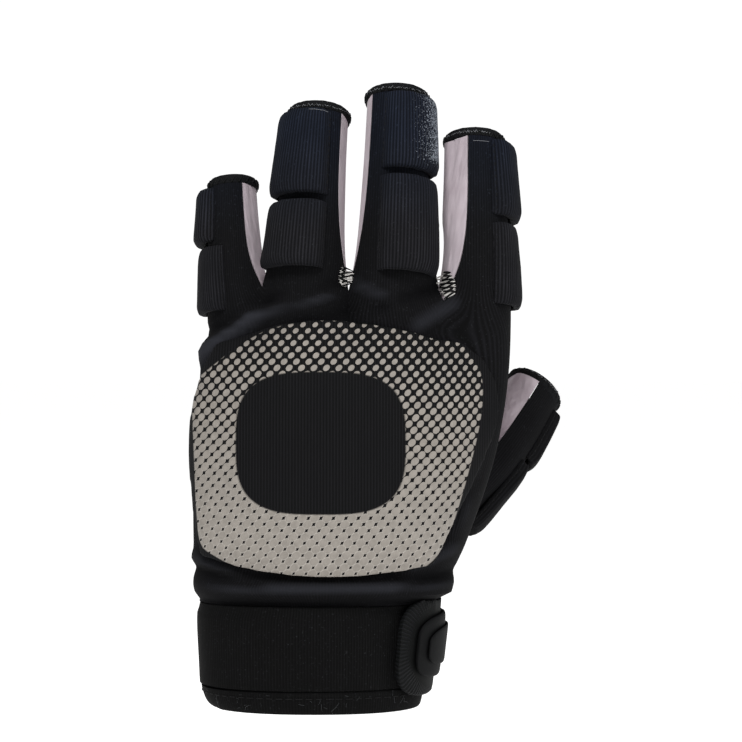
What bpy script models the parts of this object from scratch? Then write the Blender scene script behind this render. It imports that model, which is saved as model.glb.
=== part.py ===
"""Padded half-finger glove for the left hand, of the kind worn for field hockey.

The glove is modelled as it is worn, in metres. +Z runs up to the fingertips, the back of
the hand faces -Y and the thumb is on the +X side. The origin is the middle of the cuff's
lower rim, where the wrist goes in.
"""

import math
from collections import namedtuple

import bmesh
import bpy
import numpy
from mathutils import Vector
from mathutils.bvhtree import BVHTree

# Driving sizes of the knit shell
HAND_HEIGHT = 0.0995
HAND_BREADTH = 0.100
HAND_DEPTH = 0.046
FABRIC_WALL = 0.0016
SEAM_GAP = 0.0003
SIDE_ROUNDNESS = 2.3
MITRE_LIMIT = 1.8
MITRE_SOFTENING = 0.05

# Length of each finger stall, from the web between the fingers to its hem
LITTLE_LENGTH = 0.035
RING_LENGTH = 0.058
MIDDLE_LENGTH = 0.0665
INDEX_LENGTH = 0.0565
THUMB_LENGTH = 0.0515

# Outer width of each stall where it leaves the hand, and what is left of it at the hem
LITTLE_WIDTH = 0.0205
RING_WIDTH = 0.0256
MIDDLE_WIDTH = 0.0262
INDEX_WIDTH = 0.0248
THUMB_WIDTH = 0.0250
TIP_TAPER = 0.86

# Cuff, its hem and the hems round the finger openings
CUFF_HEIGHT = 0.0345
CUFF_WALL = 0.0030
CUFF_BREADTH = 0.0780
CUFF_DEPTH = 0.0500
HEM_SWELL = 0.0006
FINGER_HEM_HEIGHT = 0.0030
FINGER_HEM_WALL = 0.0022

# Foam pads
SEAT_GAP = 0.0004
FINGER_PAD_THICKNESS = 0.0052
FINGER_PAD_EDGE = 0.0014
PAD_ROOT = 0.0022
PAD_TIP_FALL = 0.80
PAD_END_ROUNDING = 0.35
PAD_END_CROWDING = 0.60
PAD_END_FLATNESS = 12
PAD_SIDE_FLATNESS = 3.2
BACK_PAD_THICKNESS = 0.0085
BACK_PAD_EDGE = 0.0028
BACK_PAD_WIDTH = 0.0800
BACK_PAD_HEIGHT = 0.0785
BACK_PAD_RISE = 0.0095
BACK_PAD_SHIFT = 0.0010
BACK_PAD_CORNER = 0.22
BACK_PAD_FLARE = 0.055
BACK_PAD_DRIFT = 0.022
BACK_PAD_CROWN = 0.045
BACK_PAD_SLOPE = -0.020
BACK_PAD_BEND = 0.53
BACK_PAD_FRONT = 0.46
BACK_PAD_LEAST = 0.03
BACK_PAD_FAN = 0.55
BACK_PAD_FLATNESS = 5
BACK_PAD_SHOULDER = 0.7

# Wrist strap
STRAP_LENGTH = 0.105
STRAP_WIDTH = 0.0318
STRAP_THICKNESS = 0.0026
STRAP_HEIGHT = 0.0205
STRAP_START = 48
STRAP_ROUND_END = 0.0140
STRAP_END_SQUARENESS = 3.2
STRAP_TAB_LENGTH = 0.062
STRAP_TAB_THICKNESS = 0.0014
STRAP_TAB_MARGIN = 0.0055
STRAP_PATCH_LENGTH = 0.050
STRAP_PATCH_THICKNESS = 0.0008
STRAP_PATCH_MARGIN = 0.0095
STRAP_CELLS = 16
STRAP_END_SHARES = (0.02, 0.08, 0.20, 0.42, 0.70)
STRAP_ROWS = 4
STRAP_GAP = 0.0006

# Mesh density
FRONT_COLUMNS = 6
BACK_COLUMNS = 4
STALL_ROWS = 5
THUMB_ROWS = 5
CUFF_SEGMENTS = 40

# Outline of the hand between the cuff and the finger roots. "up" is a share of
# HAND_HEIGHT, "left" and "right" are shares of HAND_BREADTH from the middle, and "front"
# and "back" are shares of HAND_DEPTH. The second to fourth rows are the roll of slack
# cloth that sits on the cuff.
HandRow = namedtuple("HandRow", "up left right front back")
HAND_ROWS = (
    HandRow(0.00, 0.395, 0.392, 0.500, 0.490),
    HandRow(0.03, 0.410, 0.446, 0.575, 0.520),
    HandRow(0.07, 0.412, 0.450, 0.570, 0.535),
    HandRow(0.12, 0.410, 0.458, 0.515, 0.545),
    HandRow(0.18, 0.413, 0.488, 0.500, 0.560),
    HandRow(0.27, 0.415, 0.520, 0.495, 0.585),
    HandRow(0.37, 0.416, 0.555, 0.490, 0.590),
    HandRow(0.49, 0.414, 0.590, 0.480, 0.540),
    HandRow(0.61, 0.408, 0.612, 0.470, 0.450),
    HandRow(0.73, 0.398, 0.626, 0.450, 0.360),
    HandRow(0.84, 0.386, 0.632, 0.425, 0.290),
    HandRow(0.93, 0.376, 0.628, 0.395, 0.235),
)
THUMB_LOW_ROW = 4
THUMB_HIGH_ROW = 7
ROOT_BLEND_FROM = 0.62

# Columns of the hand: how evenly they are spread round it, and the directions of the first
# and last column of each side, in degrees
COLUMN_EVENNESS = 0.45
FRONT_FIRST_TURN = 172
FRONT_LAST_TURN = 10
PALM_FIRST_TURN = 6
PALM_LAST_TURN = 174

# Each stall's place and turn. "across", "depth" and "up" place the middle of its root, as
# shares of HAND_BREADTH, HAND_DEPTH and HAND_HEIGHT. "lean" tilts it towards the thumb
# and "curl" towards the palm, in degrees, at the root and at the tip. The seam columns
# are angles round the stall, seen from the tip: 180 is its little-finger side, 90 its
# back and 0 its thumb side. Each seam has its angle at the root and at the tip.
Stall = namedtuple(
    "Stall",
    "name across depth up length width lean curl_root curl_tip "
    "left_root left_tip right_root right_tip palm_left palm_right",
)
STALLS = (
    Stall("little", -0.264, 0.05, 1.015, LITTLE_LENGTH, LITTLE_WIDTH, -3.5, 8, 15,
          188, 208, 52, 66, 250, 322),
    Stall("ring", -0.034, -0.08, 1.025, RING_LENGTH, RING_WIDTH, 3.5, 8, 18,
          172, 190, 24, 46, 226, 308),
    Stall("middle", 0.240, -0.10, 1.000, MIDDLE_LENGTH, MIDDLE_WIDTH, 2.0, 8, 18,
          156, 138, 8, -8, 232, 314),
    Stall("index", 0.516, 0.00, 0.955, INDEX_LENGTH, INDEX_WIDTH, 0.5, 8, 17,
          124, 104, -8, -28, 218, 290),
)

# The thumb stall leaves a window in the side of the hand, so only its direction is set.
THUMB_LEAN = 39.0
THUMB_CURL = 26.0
THUMB_TWIST = -10.0
THUMB_SWELL = 0.0025
THUMB_GUSSET_COLUMNS = (7, 8, 9, 10)

# Finger pads: where each starts and ends along its stall, as shares of the stall's
# length, the middle and half-width of its wrap round the stall, in degrees, and its
# thickness as a share of FINGER_PAD_THICKNESS.
Pad = namedtuple("Pad", "name stall start end middle wrap thick")
PADS = (
    Pad("little_root_pad", "little", -0.200, 0.410, 160, 48, 0.72),
    Pad("little_tip_pad", "little", 0.465, 0.985, 178, 43, 0.92),
    Pad("ring_root_pad", "ring", 0.085, 0.455, 121, 56, 1.00),
    Pad("ring_tip_pad", "ring", 0.495, 0.985, 121, 56, 1.00),
    Pad("middle_root_pad", "middle", 0.093, 0.562, 59, 54, 1.00),
    Pad("middle_tip_pad", "middle", 0.597, 0.985, 59, 54, 1.00),
    Pad("index_root_pad", "index", 0.010, 0.488, 16, 45, 0.72),
    Pad("index_tip_pad", "index", 0.528, 0.985, 16, 45, 0.90),
    Pad("thumb_root_pad", "thumb", -0.080, 0.500, -14, 52, 0.77),
    Pad("thumb_tip_pad", "thumb", 0.540, 0.970, -22, 52, 0.77),
)
PAD_LENGTH_CELLS = 6
PAD_WRAP_CELLS = 8
BACK_PAD_CELLS = 14

# Outline of the cuff: "up" is a share of CUFF_HEIGHT, "left" and "right" of
# CUFF_BREADTH, "front" and "back" of CUFF_DEPTH.
CUFF_ROWS = (
    HandRow(0.22, 0.499, 0.442, 0.500, 0.476),
    HandRow(0.45, 0.503, 0.452, 0.504, 0.480),
    HandRow(0.80, 0.513, 0.470, 0.506, 0.488),
    HandRow(0.97, 0.508, 0.474, 0.492, 0.482),
)
CUFF_HEM_ROWS = (
    HandRow(0.00, 0.445, 0.424, 0.480, 0.464),
    HandRow(0.07, 0.470, 0.434, 0.494, 0.474),
    HandRow(0.19, 0.487, 0.440, 0.496, 0.474),
)

# Materials: colour as it looks, roughness and metallic value
BLACK_KNIT = ("black_knit", (0.014, 0.014, 0.017), 0.85)
GREY_SUEDE = ("grey_suede", (0.58, 0.54, 0.57), 0.80)
BLACK_NEOPRENE = ("black_neoprene", (0.012, 0.012, 0.014), 0.80)
BLACK_BINDING = ("black_binding", (0.010, 0.010, 0.012), 0.70)
PRINTED_PAD = ("printed_pad", (0.36, 0.35, 0.34), 0.60)
STRAP_RUBBER = ("strap_rubber", (0.015, 0.015, 0.016), 0.50)


def lerp(a, b, share):
    """The value or point at that share of the way from a to b."""
    return a + (b - a) * share


def smooth(share):
    """0 to 1 with a soft start and end."""
    share = min(1.0, max(0.0, share))
    return share * share * (3 - 2 * share)


def collection_named(name):
    """A new collection in the scene."""
    made = bpy.data.collections.new(name)
    bpy.context.scene.collection.children.link(made)
    return made


def material_of(kind):
    """The Principled material of one kind of cloth, foam or rubber, made once."""
    name, colour, roughness = kind
    found = bpy.data.materials.get(name)
    if found:
        return found
    made = bpy.data.materials.new(name)
    made.use_nodes = True
    shader = made.node_tree.nodes["Principled BSDF"]
    shader.inputs["Base Color"].default_value = (*colour, 1.0)
    shader.inputs["Roughness"].default_value = roughness
    shader.inputs["Metallic"].default_value = 0.0
    return made


def object_from(name, points, faces, kind, collection):
    """A named object from points and faces, with its faces turned outwards."""
    mesh = bpy.data.meshes.new(name)
    mesh.from_pydata([tuple(p) for p in points], [], faces)
    work = bmesh.new()
    work.from_mesh(mesh)
    bmesh.ops.recalc_face_normals(work, faces=work.faces)
    work.to_mesh(mesh)
    work.free()
    mesh.materials.append(material_of(kind))
    mesh.shade_smooth()
    mesh.set_sharp_from_angle(angle=math.radians(50))
    made = bpy.data.objects.new(name, mesh)
    collection.objects.link(made)
    return made


def ring_tube(name, rings, kind, collection):
    """A closed tube wall: each ring joined to the next, and the last to the first."""
    around = len(rings[0])
    points = [p for ring in rings for p in ring]
    faces = []
    for r in range(len(rings)):
        low, high = r * around, (r + 1) % len(rings) * around
        for k in range(around):
            turn = (k + 1) % around
            faces.append((low + k, low + turn, high + turn, high + k))
    return object_from(name, points, faces, kind, collection)


def slab(name, low, high, kind, collection):
    """A closed slab between two grids of points, each a list of rows of one length."""
    rows, columns = len(low), len(low[0])
    points = [p for grid in (low, high) for row in grid for p in row]
    upper = rows * columns
    faces = []
    for r in range(rows - 1):
        for c in range(columns - 1):
            quad = (
                r * columns + c,
                r * columns + c + 1,
                (r + 1) * columns + c + 1,
                (r + 1) * columns + c,
            )
            faces.append(quad)
            faces.append(tuple(upper + k for k in reversed(quad)))
    edge = [c for c in range(columns)]
    edge += [r * columns + columns - 1 for r in range(1, rows)]
    edge += [(rows - 1) * columns + c for c in range(columns - 2, -1, -1)]
    edge += [r * columns for r in range(rows - 2, 0, -1)]
    for here, there in zip(edge, edge[1:] + edge[:1]):
        faces.append((here, there, upper + there, upper + here))
    return object_from(name, points, faces, kind, collection)


class Axis:
    """The middle line of a stall, with the directions across it."""

    def __init__(self, root, length, width, lean, curl_root, curl_tip):
        self.root = root
        self.length = length
        self.width = width
        self.lean = math.radians(lean)
        self.curl_root = math.radians(curl_root)
        self.curl_tip = math.radians(curl_tip)

    def direction(self, curl):
        """The way the stall points where it has curled by that angle."""
        return Vector((
            math.sin(self.lean) * math.cos(curl),
            math.sin(curl),
            math.cos(self.lean) * math.cos(curl),
        ))

    def along(self, share):
        """The point of the middle line at that share of the stall's length."""
        mean_curl = self.curl_root + (self.curl_tip - self.curl_root) * share / 2
        return self.root + self.direction(mean_curl) * self.length * share

    def outward(self, share, angle):
        """The direction across the stall at an angle round it."""
        tilt = self.curl_root + (self.curl_tip - self.curl_root) * max(0.0, share)
        right = Vector((math.cos(self.lean), 0.0, -math.sin(self.lean)))
        front = right.cross(self.direction(tilt))
        return right * math.cos(math.radians(angle)) + front * math.sin(math.radians(angle))

    def radius(self, share):
        """The stall's outer radius at that share of its length."""
        return self.width / 2 * lerp(1.0, TIP_TAPER, smooth(share))

    def point(self, share, angle, outset=0.0):
        """A point on the stall's surface, or outset from it."""
        reach = self.radius(share) + outset
        return self.along(share) + self.outward(share, angle) * reach


def axis_of(stall):
    """The middle line of a finger stall."""
    root = Vector((
        stall.across * HAND_BREADTH,
        stall.depth * HAND_DEPTH,
        CUFF_HEIGHT + stall.up * HAND_HEIGHT,
    ))
    return Axis(root, stall.length, stall.width, stall.lean, stall.curl_root, stall.curl_tip)


def stall_angles(stall, share):
    """The angles of a stall's columns: front, thumb side, palm, little-finger side."""
    spread = smooth(share / 0.5)
    left = lerp(stall.left_root, stall.left_tip, spread)
    right = lerp(stall.right_root, stall.right_tip, spread)
    palm_right, palm_left = stall.palm_right - 360, stall.palm_left - 360
    front = [lerp(left, right, k / FRONT_COLUMNS) for k in range(FRONT_COLUMNS + 1)]
    palm = [lerp(palm_right, palm_left, k / BACK_COLUMNS) for k in range(BACK_COLUMNS + 1)]
    return [*front, (right + palm_right) / 2, *palm, (left - 360 + palm_left) / 2]


def rounded_section(row, breadth, depth, height, turn):
    """The point of a rounded hand or wrist section in the direction turn, in radians."""
    half_width = (row.left + row.right) / 2 * breadth
    half_depth = (row.front + row.back) / 2 * depth
    middle = Vector((
        (row.right - row.left) / 2 * breadth,
        (row.back - row.front) / 2 * depth,
        height,
    ))
    sides = abs(math.cos(turn)) ** SIDE_ROUNDNESS + abs(math.sin(turn)) ** SIDE_ROUNDNESS
    reach = sides ** (-1 / SIDE_ROUNDNESS)
    across = math.cos(turn) * half_width * reach
    towards_viewer = math.sin(turn) * half_depth * reach
    return middle + Vector((across, -towards_viewer, 0.0))


def finger_roots(axes):
    """The ring of points where the hand divides into its stalls, and the web middles."""
    rings = [
        [axes[s.name].point(0.0, angle) for angle in stall_angles(s, 0.0)] for s in STALLS
    ]
    side = FRONT_COLUMNS + 1
    palm = side + 1
    left_side = palm + BACK_COLUMNS + 1
    front, back, webs = [], [], []
    for k, ring in enumerate(rings):
        first = 1 if k else 0
        front += ring[first:side]
        if k + 1 < len(rings):
            neighbour = rings[k + 1]
            front[-1] = (ring[side - 1] + neighbour[0]) / 2
            webs.append((ring[side] + neighbour[left_side]) / 2)
    for k in range(len(rings) - 1, -1, -1):
        first = 1 if k + 1 < len(rings) else 0
        back += rings[k][palm + first:left_side]
        if k:
            back[-1] = (rings[k][left_side - 1] + rings[k - 1][palm]) / 2
    return [*front, rings[-1][side], *back, rings[0][left_side]], webs


class Skin:
    """The outer surface of the knit shell, with the panel that each face belongs to."""

    def __init__(self):
        self.points = []
        self.faces = []
        self.panels = []

    def add(self, point):
        """Adds a point and gives its number."""
        self.points.append(Vector(point))
        return len(self.points) - 1

    def join(self, low, high, panel_names, skip=()):
        """Joins two rings of point numbers by triangles. skip holds columns left open."""
        around = len(low)
        for k in range(around):
            if k in skip:
                continue
            turn = (k + 1) % around
            a, b, c, d = low[k], low[turn], high[turn], high[k]
            rising = (self.points[c] - self.points[a]).length
            falling = (self.points[d] - self.points[b]).length
            if rising < falling:
                self.faces += [(a, b, c), (a, c, d)]
            else:
                self.faces += [(a, b, d), (b, c, d)]
            self.panels += [panel_names[k]] * 2


def column_turns(roots):
    """The direction of each column lower down, where the hand is still one tube."""
    places = [p.x for p in roots]
    middle = (max(places) + min(places)) / 2
    half = (max(places) - min(places)) / 2 * 1.02
    last_front = FRONT_COLUMNS * len(STALLS)
    turns = []
    for k, place in enumerate(places):
        turn = math.acos((place - middle) / half)
        if k <= last_front:
            even = math.radians(lerp(FRONT_FIRST_TURN, FRONT_LAST_TURN, k / last_front))
            turns.append(lerp(turn, even, COLUMN_EVENNESS))
        else:
            share = (k - last_front - 1) / (len(places) - last_front - 2)
            even = math.radians(lerp(PALM_FIRST_TURN, PALM_LAST_TURN, share))
            turns.append(-lerp(turn, even, COLUMN_EVENNESS))
    return turns


def hand_rings(skin, roots):
    """The rings of the hand from the cuff up to the finger roots."""
    turns = column_turns(roots)
    low = CUFF_HEIGHT + SEAM_GAP
    rings = []
    for row in HAND_ROWS:
        blend = smooth((row.up - ROOT_BLEND_FROM) / (1 - ROOT_BLEND_FROM))
        ring = []
        for root, turn in zip(roots, turns):
            height = lerp(low, root.z, row.up)
            plain = rounded_section(row, HAND_BREADTH, HAND_DEPTH, height, turn)
            at_root = Vector((root.x, root.y, height))
            ring.append(skin.add(lerp(plain, at_root, blend)))
        rings.append(ring)
    rings.append([skin.add(p) for p in roots])
    return rings


def add_stall(skin, stall, axis, root_ring, panel_names):
    """One finger stall, from its root ring to just under its hem."""
    low = root_ring
    for row in range(1, STALL_ROWS + 1):
        share = row / STALL_ROWS
        high = [skin.add(axis.point(share, a)) for a in stall_angles(stall, share)]
        skin.join(low, high, panel_names)
        low = high


def thumb_axis(window):
    """The middle line of the thumb stall, which starts at its window in the hand."""
    root = sum(window, Vector()) / len(window)
    return Axis(root, THUMB_LENGTH, THUMB_WIDTH, THUMB_LEAN, THUMB_CURL, THUMB_CURL)


def add_thumb(skin, window_ring, panel_names):
    """The thumb stall, which grows out of its window and turns on its way to the hem."""
    window = [skin.points[k] for k in window_ring]
    axis = thumb_axis(window)
    right, front = axis.outward(0.0, 0.0), axis.outward(0.0, 90.0)
    corner = window[0] - axis.root
    first = math.degrees(math.atan2(corner.dot(front), corner.dot(right)))
    walked = [0.0]
    for here, there in zip(window, window[1:] + window[:1]):
        walked.append(walked[-1] + (there - here).length)
    low = window_ring
    for row in range(1, THUMB_ROWS + 1):
        share = row / THUMB_ROWS
        freed = smooth(share / 0.7)
        swell = Vector((THUMB_SWELL * math.sin(math.pi * share), 0.0, 0.0))
        high = []
        for k, p in enumerate(window):
            angle = first + THUMB_TWIST * share - 360 * walked[k] / walked[-1]
            from_window = p + (axis.along(share) - axis.root)
            high.append(skin.add(lerp(from_window, axis.point(share, angle), freed) + swell))
        skin.join(low, high, panel_names)
        low = high
    return axis


def thumb_window(skin, rings, columns, hand_panels):
    """The ring of points round the thumb's window, whose corners are filled in."""
    rows = list(range(THUMB_LOW_ROW, THUMB_HIGH_ROW + 1))
    left, right = columns[0], columns[-1]
    sides = (
        [rings[r][left] for r in reversed(rows)],
        [rings[THUMB_LOW_ROW][c] for c in columns],
        [rings[r][right] for r in rows],
        [rings[THUMB_HIGH_ROW][c] for c in reversed(columns)],
    )
    ring = []
    for k, side in enumerate(sides):
        before = sides[k - 1][-2]
        skin.faces.append((before, side[0], side[1]))
        skin.panels.append(hand_panels[left if k < 2 else right - 1])
        ring += side[1:-1]
    return ring


def build_skin():
    """The whole outer surface of the shell, and the middle line of each stall."""
    skin = Skin()
    axes = {s.name: axis_of(s) for s in STALLS}
    roots, webs = finger_roots(axes)
    rings = hand_rings(skin, roots)
    front_count = FRONT_COLUMNS * len(STALLS)
    back_count = BACK_COLUMNS * len(STALLS)
    hand_panels = ["back_panel"] * (front_count + 1) + ["palm_panel"] * (back_count + 2)
    hand_panels.append("back_panel")
    window_columns = list(range(front_count + 1, front_count + 6))
    for k in range(len(rings) - 1):
        skip = window_columns if THUMB_LOW_ROW <= k < THUMB_HIGH_ROW else ()
        skin.join(rings[k], rings[k + 1], hand_panels, skip)

    columns = [*window_columns, window_columns[-1] + 1]
    window = thumb_window(skin, rings, columns, hand_panels)
    thumb_panels = ["thumb_panel"] * len(window)
    for k in THUMB_GUSSET_COLUMNS:
        thumb_panels[k] = "thumb_gusset"
    axes["thumb"] = add_thumb(skin, window, thumb_panels)

    root_ring = rings[-1]
    web_points = [skin.add(p) for p in webs]
    right_side = front_count + 1
    for k, stall in enumerate(STALLS):
        from_right = len(STALLS) - 1 - k
        first_back = right_side + 1 + from_right * BACK_COLUMNS
        ring = root_ring[k * FRONT_COLUMNS:(k + 1) * FRONT_COLUMNS + 1]
        outermost = k == len(STALLS) - 1
        ring = ring + [root_ring[right_side] if outermost else web_points[k]]
        ring += root_ring[first_back:first_back + BACK_COLUMNS + 1]
        ring += [root_ring[-1] if k == 0 else web_points[k - 1]]
        right_side_panels = ["back_panel", "palm_panel"]
        left_side_panels = ["palm_panel", "back_panel"]
        if not outermost:
            right_side_panels = [gusset_name(k)] * 2
        if k:
            left_side_panels = [gusset_name(k - 1)] * 2
        names = ["back_panel"] * FRONT_COLUMNS + right_side_panels
        names += ["palm_panel"] * BACK_COLUMNS + left_side_panels
        add_stall(skin, stall, axes[stall.name], ring, names)
    return skin, axes


def gusset_name(k):
    """The name of the side strip between stall k and the next one."""
    return f"gusset_{STALLS[k].name}_{STALLS[k + 1].name}"


def sunk_points(points, faces, depth):
    """Each point moved inwards, so that every face next to it moves in by that depth."""
    normals = [[] for _ in points]
    for face in faces:
        a, b, c = (points[k] for k in face)
        for k in face:
            normals[k].append((b - a).cross(c - a).normalized())
    sunk = []
    for point, around in zip(points, normals):
        if not around:
            sunk.append(point)
            continue
        rows = numpy.array(around)
        facing = rows.T @ rows + MITRE_SOFTENING * numpy.eye(3)
        way = Vector(numpy.linalg.solve(facing, rows.sum(axis=0)))
        if way.length > MITRE_LIMIT:
            way = way.normalized() * MITRE_LIMIT
        sunk.append(point - way * depth)
    return sunk


def seam_shift(points, inner, faces):
    """How far each point of a panel's rim moves into the panel, to leave half a seam."""
    uses = {}
    for face in faces:
        for here, there in zip(face, face[1:] + face[:1]):
            uses.setdefault(frozenset((here, there)), []).append(face)
    ways = {}
    for edge, sides in uses.items():
        if len(sides) > 1:
            continue
        here, there = sorted(edge)
        through = inner[here] + inner[there] - points[here] - points[there]
        across = (points[there] - points[here]).cross(through).normalized()
        middle = sum((points[k] for k in sides[0]), Vector()) / len(sides[0])
        if across.dot(middle - points[here]) < 0:
            across = -across
        for k in edge:
            ways.setdefault(k, []).append(across)
    shift = {}
    for k, rims in ways.items():
        turn = rims[0].dot(rims[-1])
        shift[k] = sum(rims, Vector()) / max(1 + turn, 0.1) * SEAM_GAP / 2
    return shift


def rim_triangles(here, there, to_inner):
    """A panel's rim at one outer edge, split the same way as its neighbour's rim."""
    here_in, there_in = here + to_inner, there + to_inner
    if here < there:
        return [(there, here, there_in), (here, here_in, there_in)]
    return [(there, here, here_in), (there, here_in, there_in)]


def add_panels(skin, inner, kinds, collection):
    """Each panel of the shell as its own solid of even wall, sewn edge to edge."""
    for name, kind in kinds.items():
        faces = [f for f, panel in zip(skin.faces, skin.panels) if panel == name]
        shift = seam_shift(skin.points, inner, faces)
        used = sorted({k for face in faces for k in face})
        number = {k: i for i, k in enumerate(used)}
        still = Vector()
        points = [skin.points[k] + shift.get(k, still) for k in used]
        points += [inner[k] + shift.get(k, still) for k in used]
        solid_faces = []
        uses = {}
        for face in faces:
            outer = [number[k] for k in face]
            solid_faces.append(tuple(outer))
            solid_faces.append(tuple(k + len(used) for k in reversed(outer)))
            for here, there in zip(outer, outer[1:] + outer[:1]):
                uses.setdefault(frozenset((here, there)), []).append((here, there))
        for sides in uses.values():
            if len(sides) == 1:
                solid_faces += rim_triangles(*sides[0], len(used))
        object_from(name, points, solid_faces, kind, collection)


def add_hand_form(name, points, faces, cutters):
    """A closed form a hair larger than the shell, which shapes the undersides of pads."""
    work = bmesh.new()
    vertices = [work.verts.new(p) for p in sunk_points(points, faces, -SEAT_GAP)]
    for face in faces:
        work.faces.new([vertices[k] for k in face])
    bmesh.ops.holes_fill(work, edges=[e for e in work.edges if e.is_boundary], sides=0)
    bmesh.ops.recalc_face_normals(work, faces=work.faces)
    mesh = bpy.data.meshes.new(name)
    work.to_mesh(mesh)
    work.free()
    form = bpy.data.objects.new(name, mesh)
    form.hide_render = True
    form.display_type = "WIRE"
    cutters.objects.link(form)
    return form


def cut_by(piece, cutter):
    """Cuts a piece to fit the form it lies on."""
    cut = piece.modifiers.new("seat", "BOOLEAN")
    cut.operation = "DIFFERENCE"
    cut.solver = "EXACT"
    cut.object = cutter


def surface_tree(points, faces):
    """A tree that finds where a line meets the surface."""
    return BVHTree.FromPolygons([tuple(p) for p in points], faces)


def seat(tree, origin, direction):
    """Where a line from inside the glove leaves its surface, in the line's direction."""
    found = tree.ray_cast(origin, direction)[0]
    return found if found else origin


def add_finger_pad(tree, form, axis, pad, collection):
    """A foam pad that wraps the back of a stall. Its root end stands proud, like a scale."""
    low, high = [], []
    for r in range(PAD_LENGTH_CELLS + 1):
        along = 2 * r / PAD_LENGTH_CELLS - 1
        eased = math.copysign(abs(along) ** PAD_END_CROWDING, along)
        share = lerp(pad.start, pad.end, (eased + 1) / 2)
        fall = lerp(1.0, PAD_TIP_FALL, smooth((eased + 1) / 2))
        low_row, high_row = [], []
        for c in range(PAD_WRAP_CELLS + 1):
            across = 2 * c / PAD_WRAP_CELLS - 1
            way = axis.outward(share, pad.middle - pad.wrap * across)
            base = seat(tree, axis.along(share), way)
            end = 1 - PAD_END_ROUNDING * abs(along) ** PAD_END_FLATNESS
            dome = (1 - abs(across) ** PAD_SIDE_FLATNESS) * end
            low_row.append(base - way * PAD_ROOT)
            full = FINGER_PAD_THICKNESS * pad.thick * fall
            high_row.append(base + way * lerp(FINGER_PAD_EDGE, full, dome))
        low.append(low_row)
        high.append(high_row)
    cut_by(slab(pad.name, low, high, BLACK_KNIT, collection), form)


def back_pad_place(across, up):
    """Where a point of the square pad pattern falls on the back of the hand."""
    wide = across * math.sqrt(1 - BACK_PAD_CORNER * up * up)
    tall = up * math.sqrt(1 - BACK_PAD_CORNER * across * across)
    half_width = BACK_PAD_WIDTH / 2 * (1 + BACK_PAD_FLARE * tall)
    drift = BACK_PAD_DRIFT * BACK_PAD_WIDTH * tall
    crown = BACK_PAD_CROWN * BACK_PAD_HEIGHT * (1 - wide * wide) * (tall + 1) / 2
    slope = BACK_PAD_SLOPE * BACK_PAD_HEIGHT * wide * (1 - tall) / 2
    x = BACK_PAD_SHIFT + drift + wide * half_width
    z = CUFF_HEIGHT + BACK_PAD_RISE + (tall + 1) / 2 * BACK_PAD_HEIGHT
    return x, z + crown + slope


def add_back_pad(tree, form, collection):
    """The domed pad on the back of the hand, which wraps round its outer edge."""
    low, high = [], []
    for r in range(BACK_PAD_CELLS + 1):
        up = 2 * r / BACK_PAD_CELLS - 1
        low_row, high_row = [], []
        for c in range(BACK_PAD_CELLS + 1):
            across = 2 * c / BACK_PAD_CELLS - 1
            x, z = back_pad_place(across, up)
            from_middle = x - BACK_PAD_SHIFT
            bend = from_middle / (BACK_PAD_BEND * BACK_PAD_WIDTH)
            front = -BACK_PAD_FRONT * HAND_DEPTH * math.sqrt(max(BACK_PAD_LEAST, 1 - bend * bend))
            origin = Vector((BACK_PAD_SHIFT + BACK_PAD_FAN * from_middle, 0.0, z))
            way = (Vector((x, front, z)) - origin).normalized()
            base = seat(tree, origin, way)
            dome = (1 - abs(across) ** BACK_PAD_FLATNESS) * (1 - abs(up) ** BACK_PAD_FLATNESS)
            rise = lerp(BACK_PAD_EDGE, BACK_PAD_THICKNESS, dome ** BACK_PAD_SHOULDER)
            low_row.append(base - way * PAD_ROOT)
            high_row.append(base + way * rise)
        low.append(low_row)
        high.append(high_row)
    cut_by(slab("back_pad", low, high, PRINTED_PAD, collection), form)


def add_finger_hem(name, axis, collection):
    """The rolled hem round a stall's opening."""
    gap = SEAM_GAP / axis.length
    height = FINGER_HEM_HEIGHT / axis.length
    outer, inner = 0.0004, -FINGER_HEM_WALL
    profile = (
        (0.0, outer - 0.0004),
        (0.3, outer),
        (0.8, outer),
        (1.0, (outer + inner) / 2),
        (0.8, inner),
        (0.0, inner + 0.0003),
    )
    count = 2 * (FRONT_COLUMNS + BACK_COLUMNS)
    rings = []
    for up, outset in profile:
        share = 1 + gap + up * height
        ring = [axis.point(share, 360 * k / count, outset) for k in range(count)]
        rings.append(ring)
    ring_tube(name, rings, BLACK_BINDING, collection)


def add_cuff(name, rows, gap_below, swell, kind, collection):
    """A closed band of the cuff, between its outer rows and the same rows moved in."""
    rings = []
    for lift, ordered in ((swell, rows), (swell - CUFF_WALL, rows[::-1])):
        for row in ordered:
            ring = []
            for k in range(CUFF_SEGMENTS):
                turn = 2 * math.pi * k / CUFF_SEGMENTS
                height = row.up * CUFF_HEIGHT + gap_below
                ring.append(cuff_point(turn, height, lift))
            rings.append(ring)
    return ring_tube(name, rings, kind, collection)


def cuff_row(up):
    """The outline of the cuff at any share of its height, between the rows of its tables."""
    rows = (*CUFF_HEM_ROWS, *CUFF_ROWS)
    for low, high in zip(rows, rows[1:]):
        if up <= high.up or high is rows[-1]:
            share = (up - low.up) / (high.up - low.up)
            return HandRow(*(lerp(a, b, share) for a, b in zip(low, high)))


def cuff_point(turn, height, lift):
    """A point lifted off the cuff's surface, at a direction round it and a height."""
    row = cuff_row(height / CUFF_HEIGHT)
    p = rounded_section(row, CUFF_BREADTH, CUFF_DEPTH, height, turn)
    out = Vector((p.x / CUFF_BREADTH ** 2, p.y / CUFF_DEPTH ** 2, 0.0))
    return p + out.normalized() * lift


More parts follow.
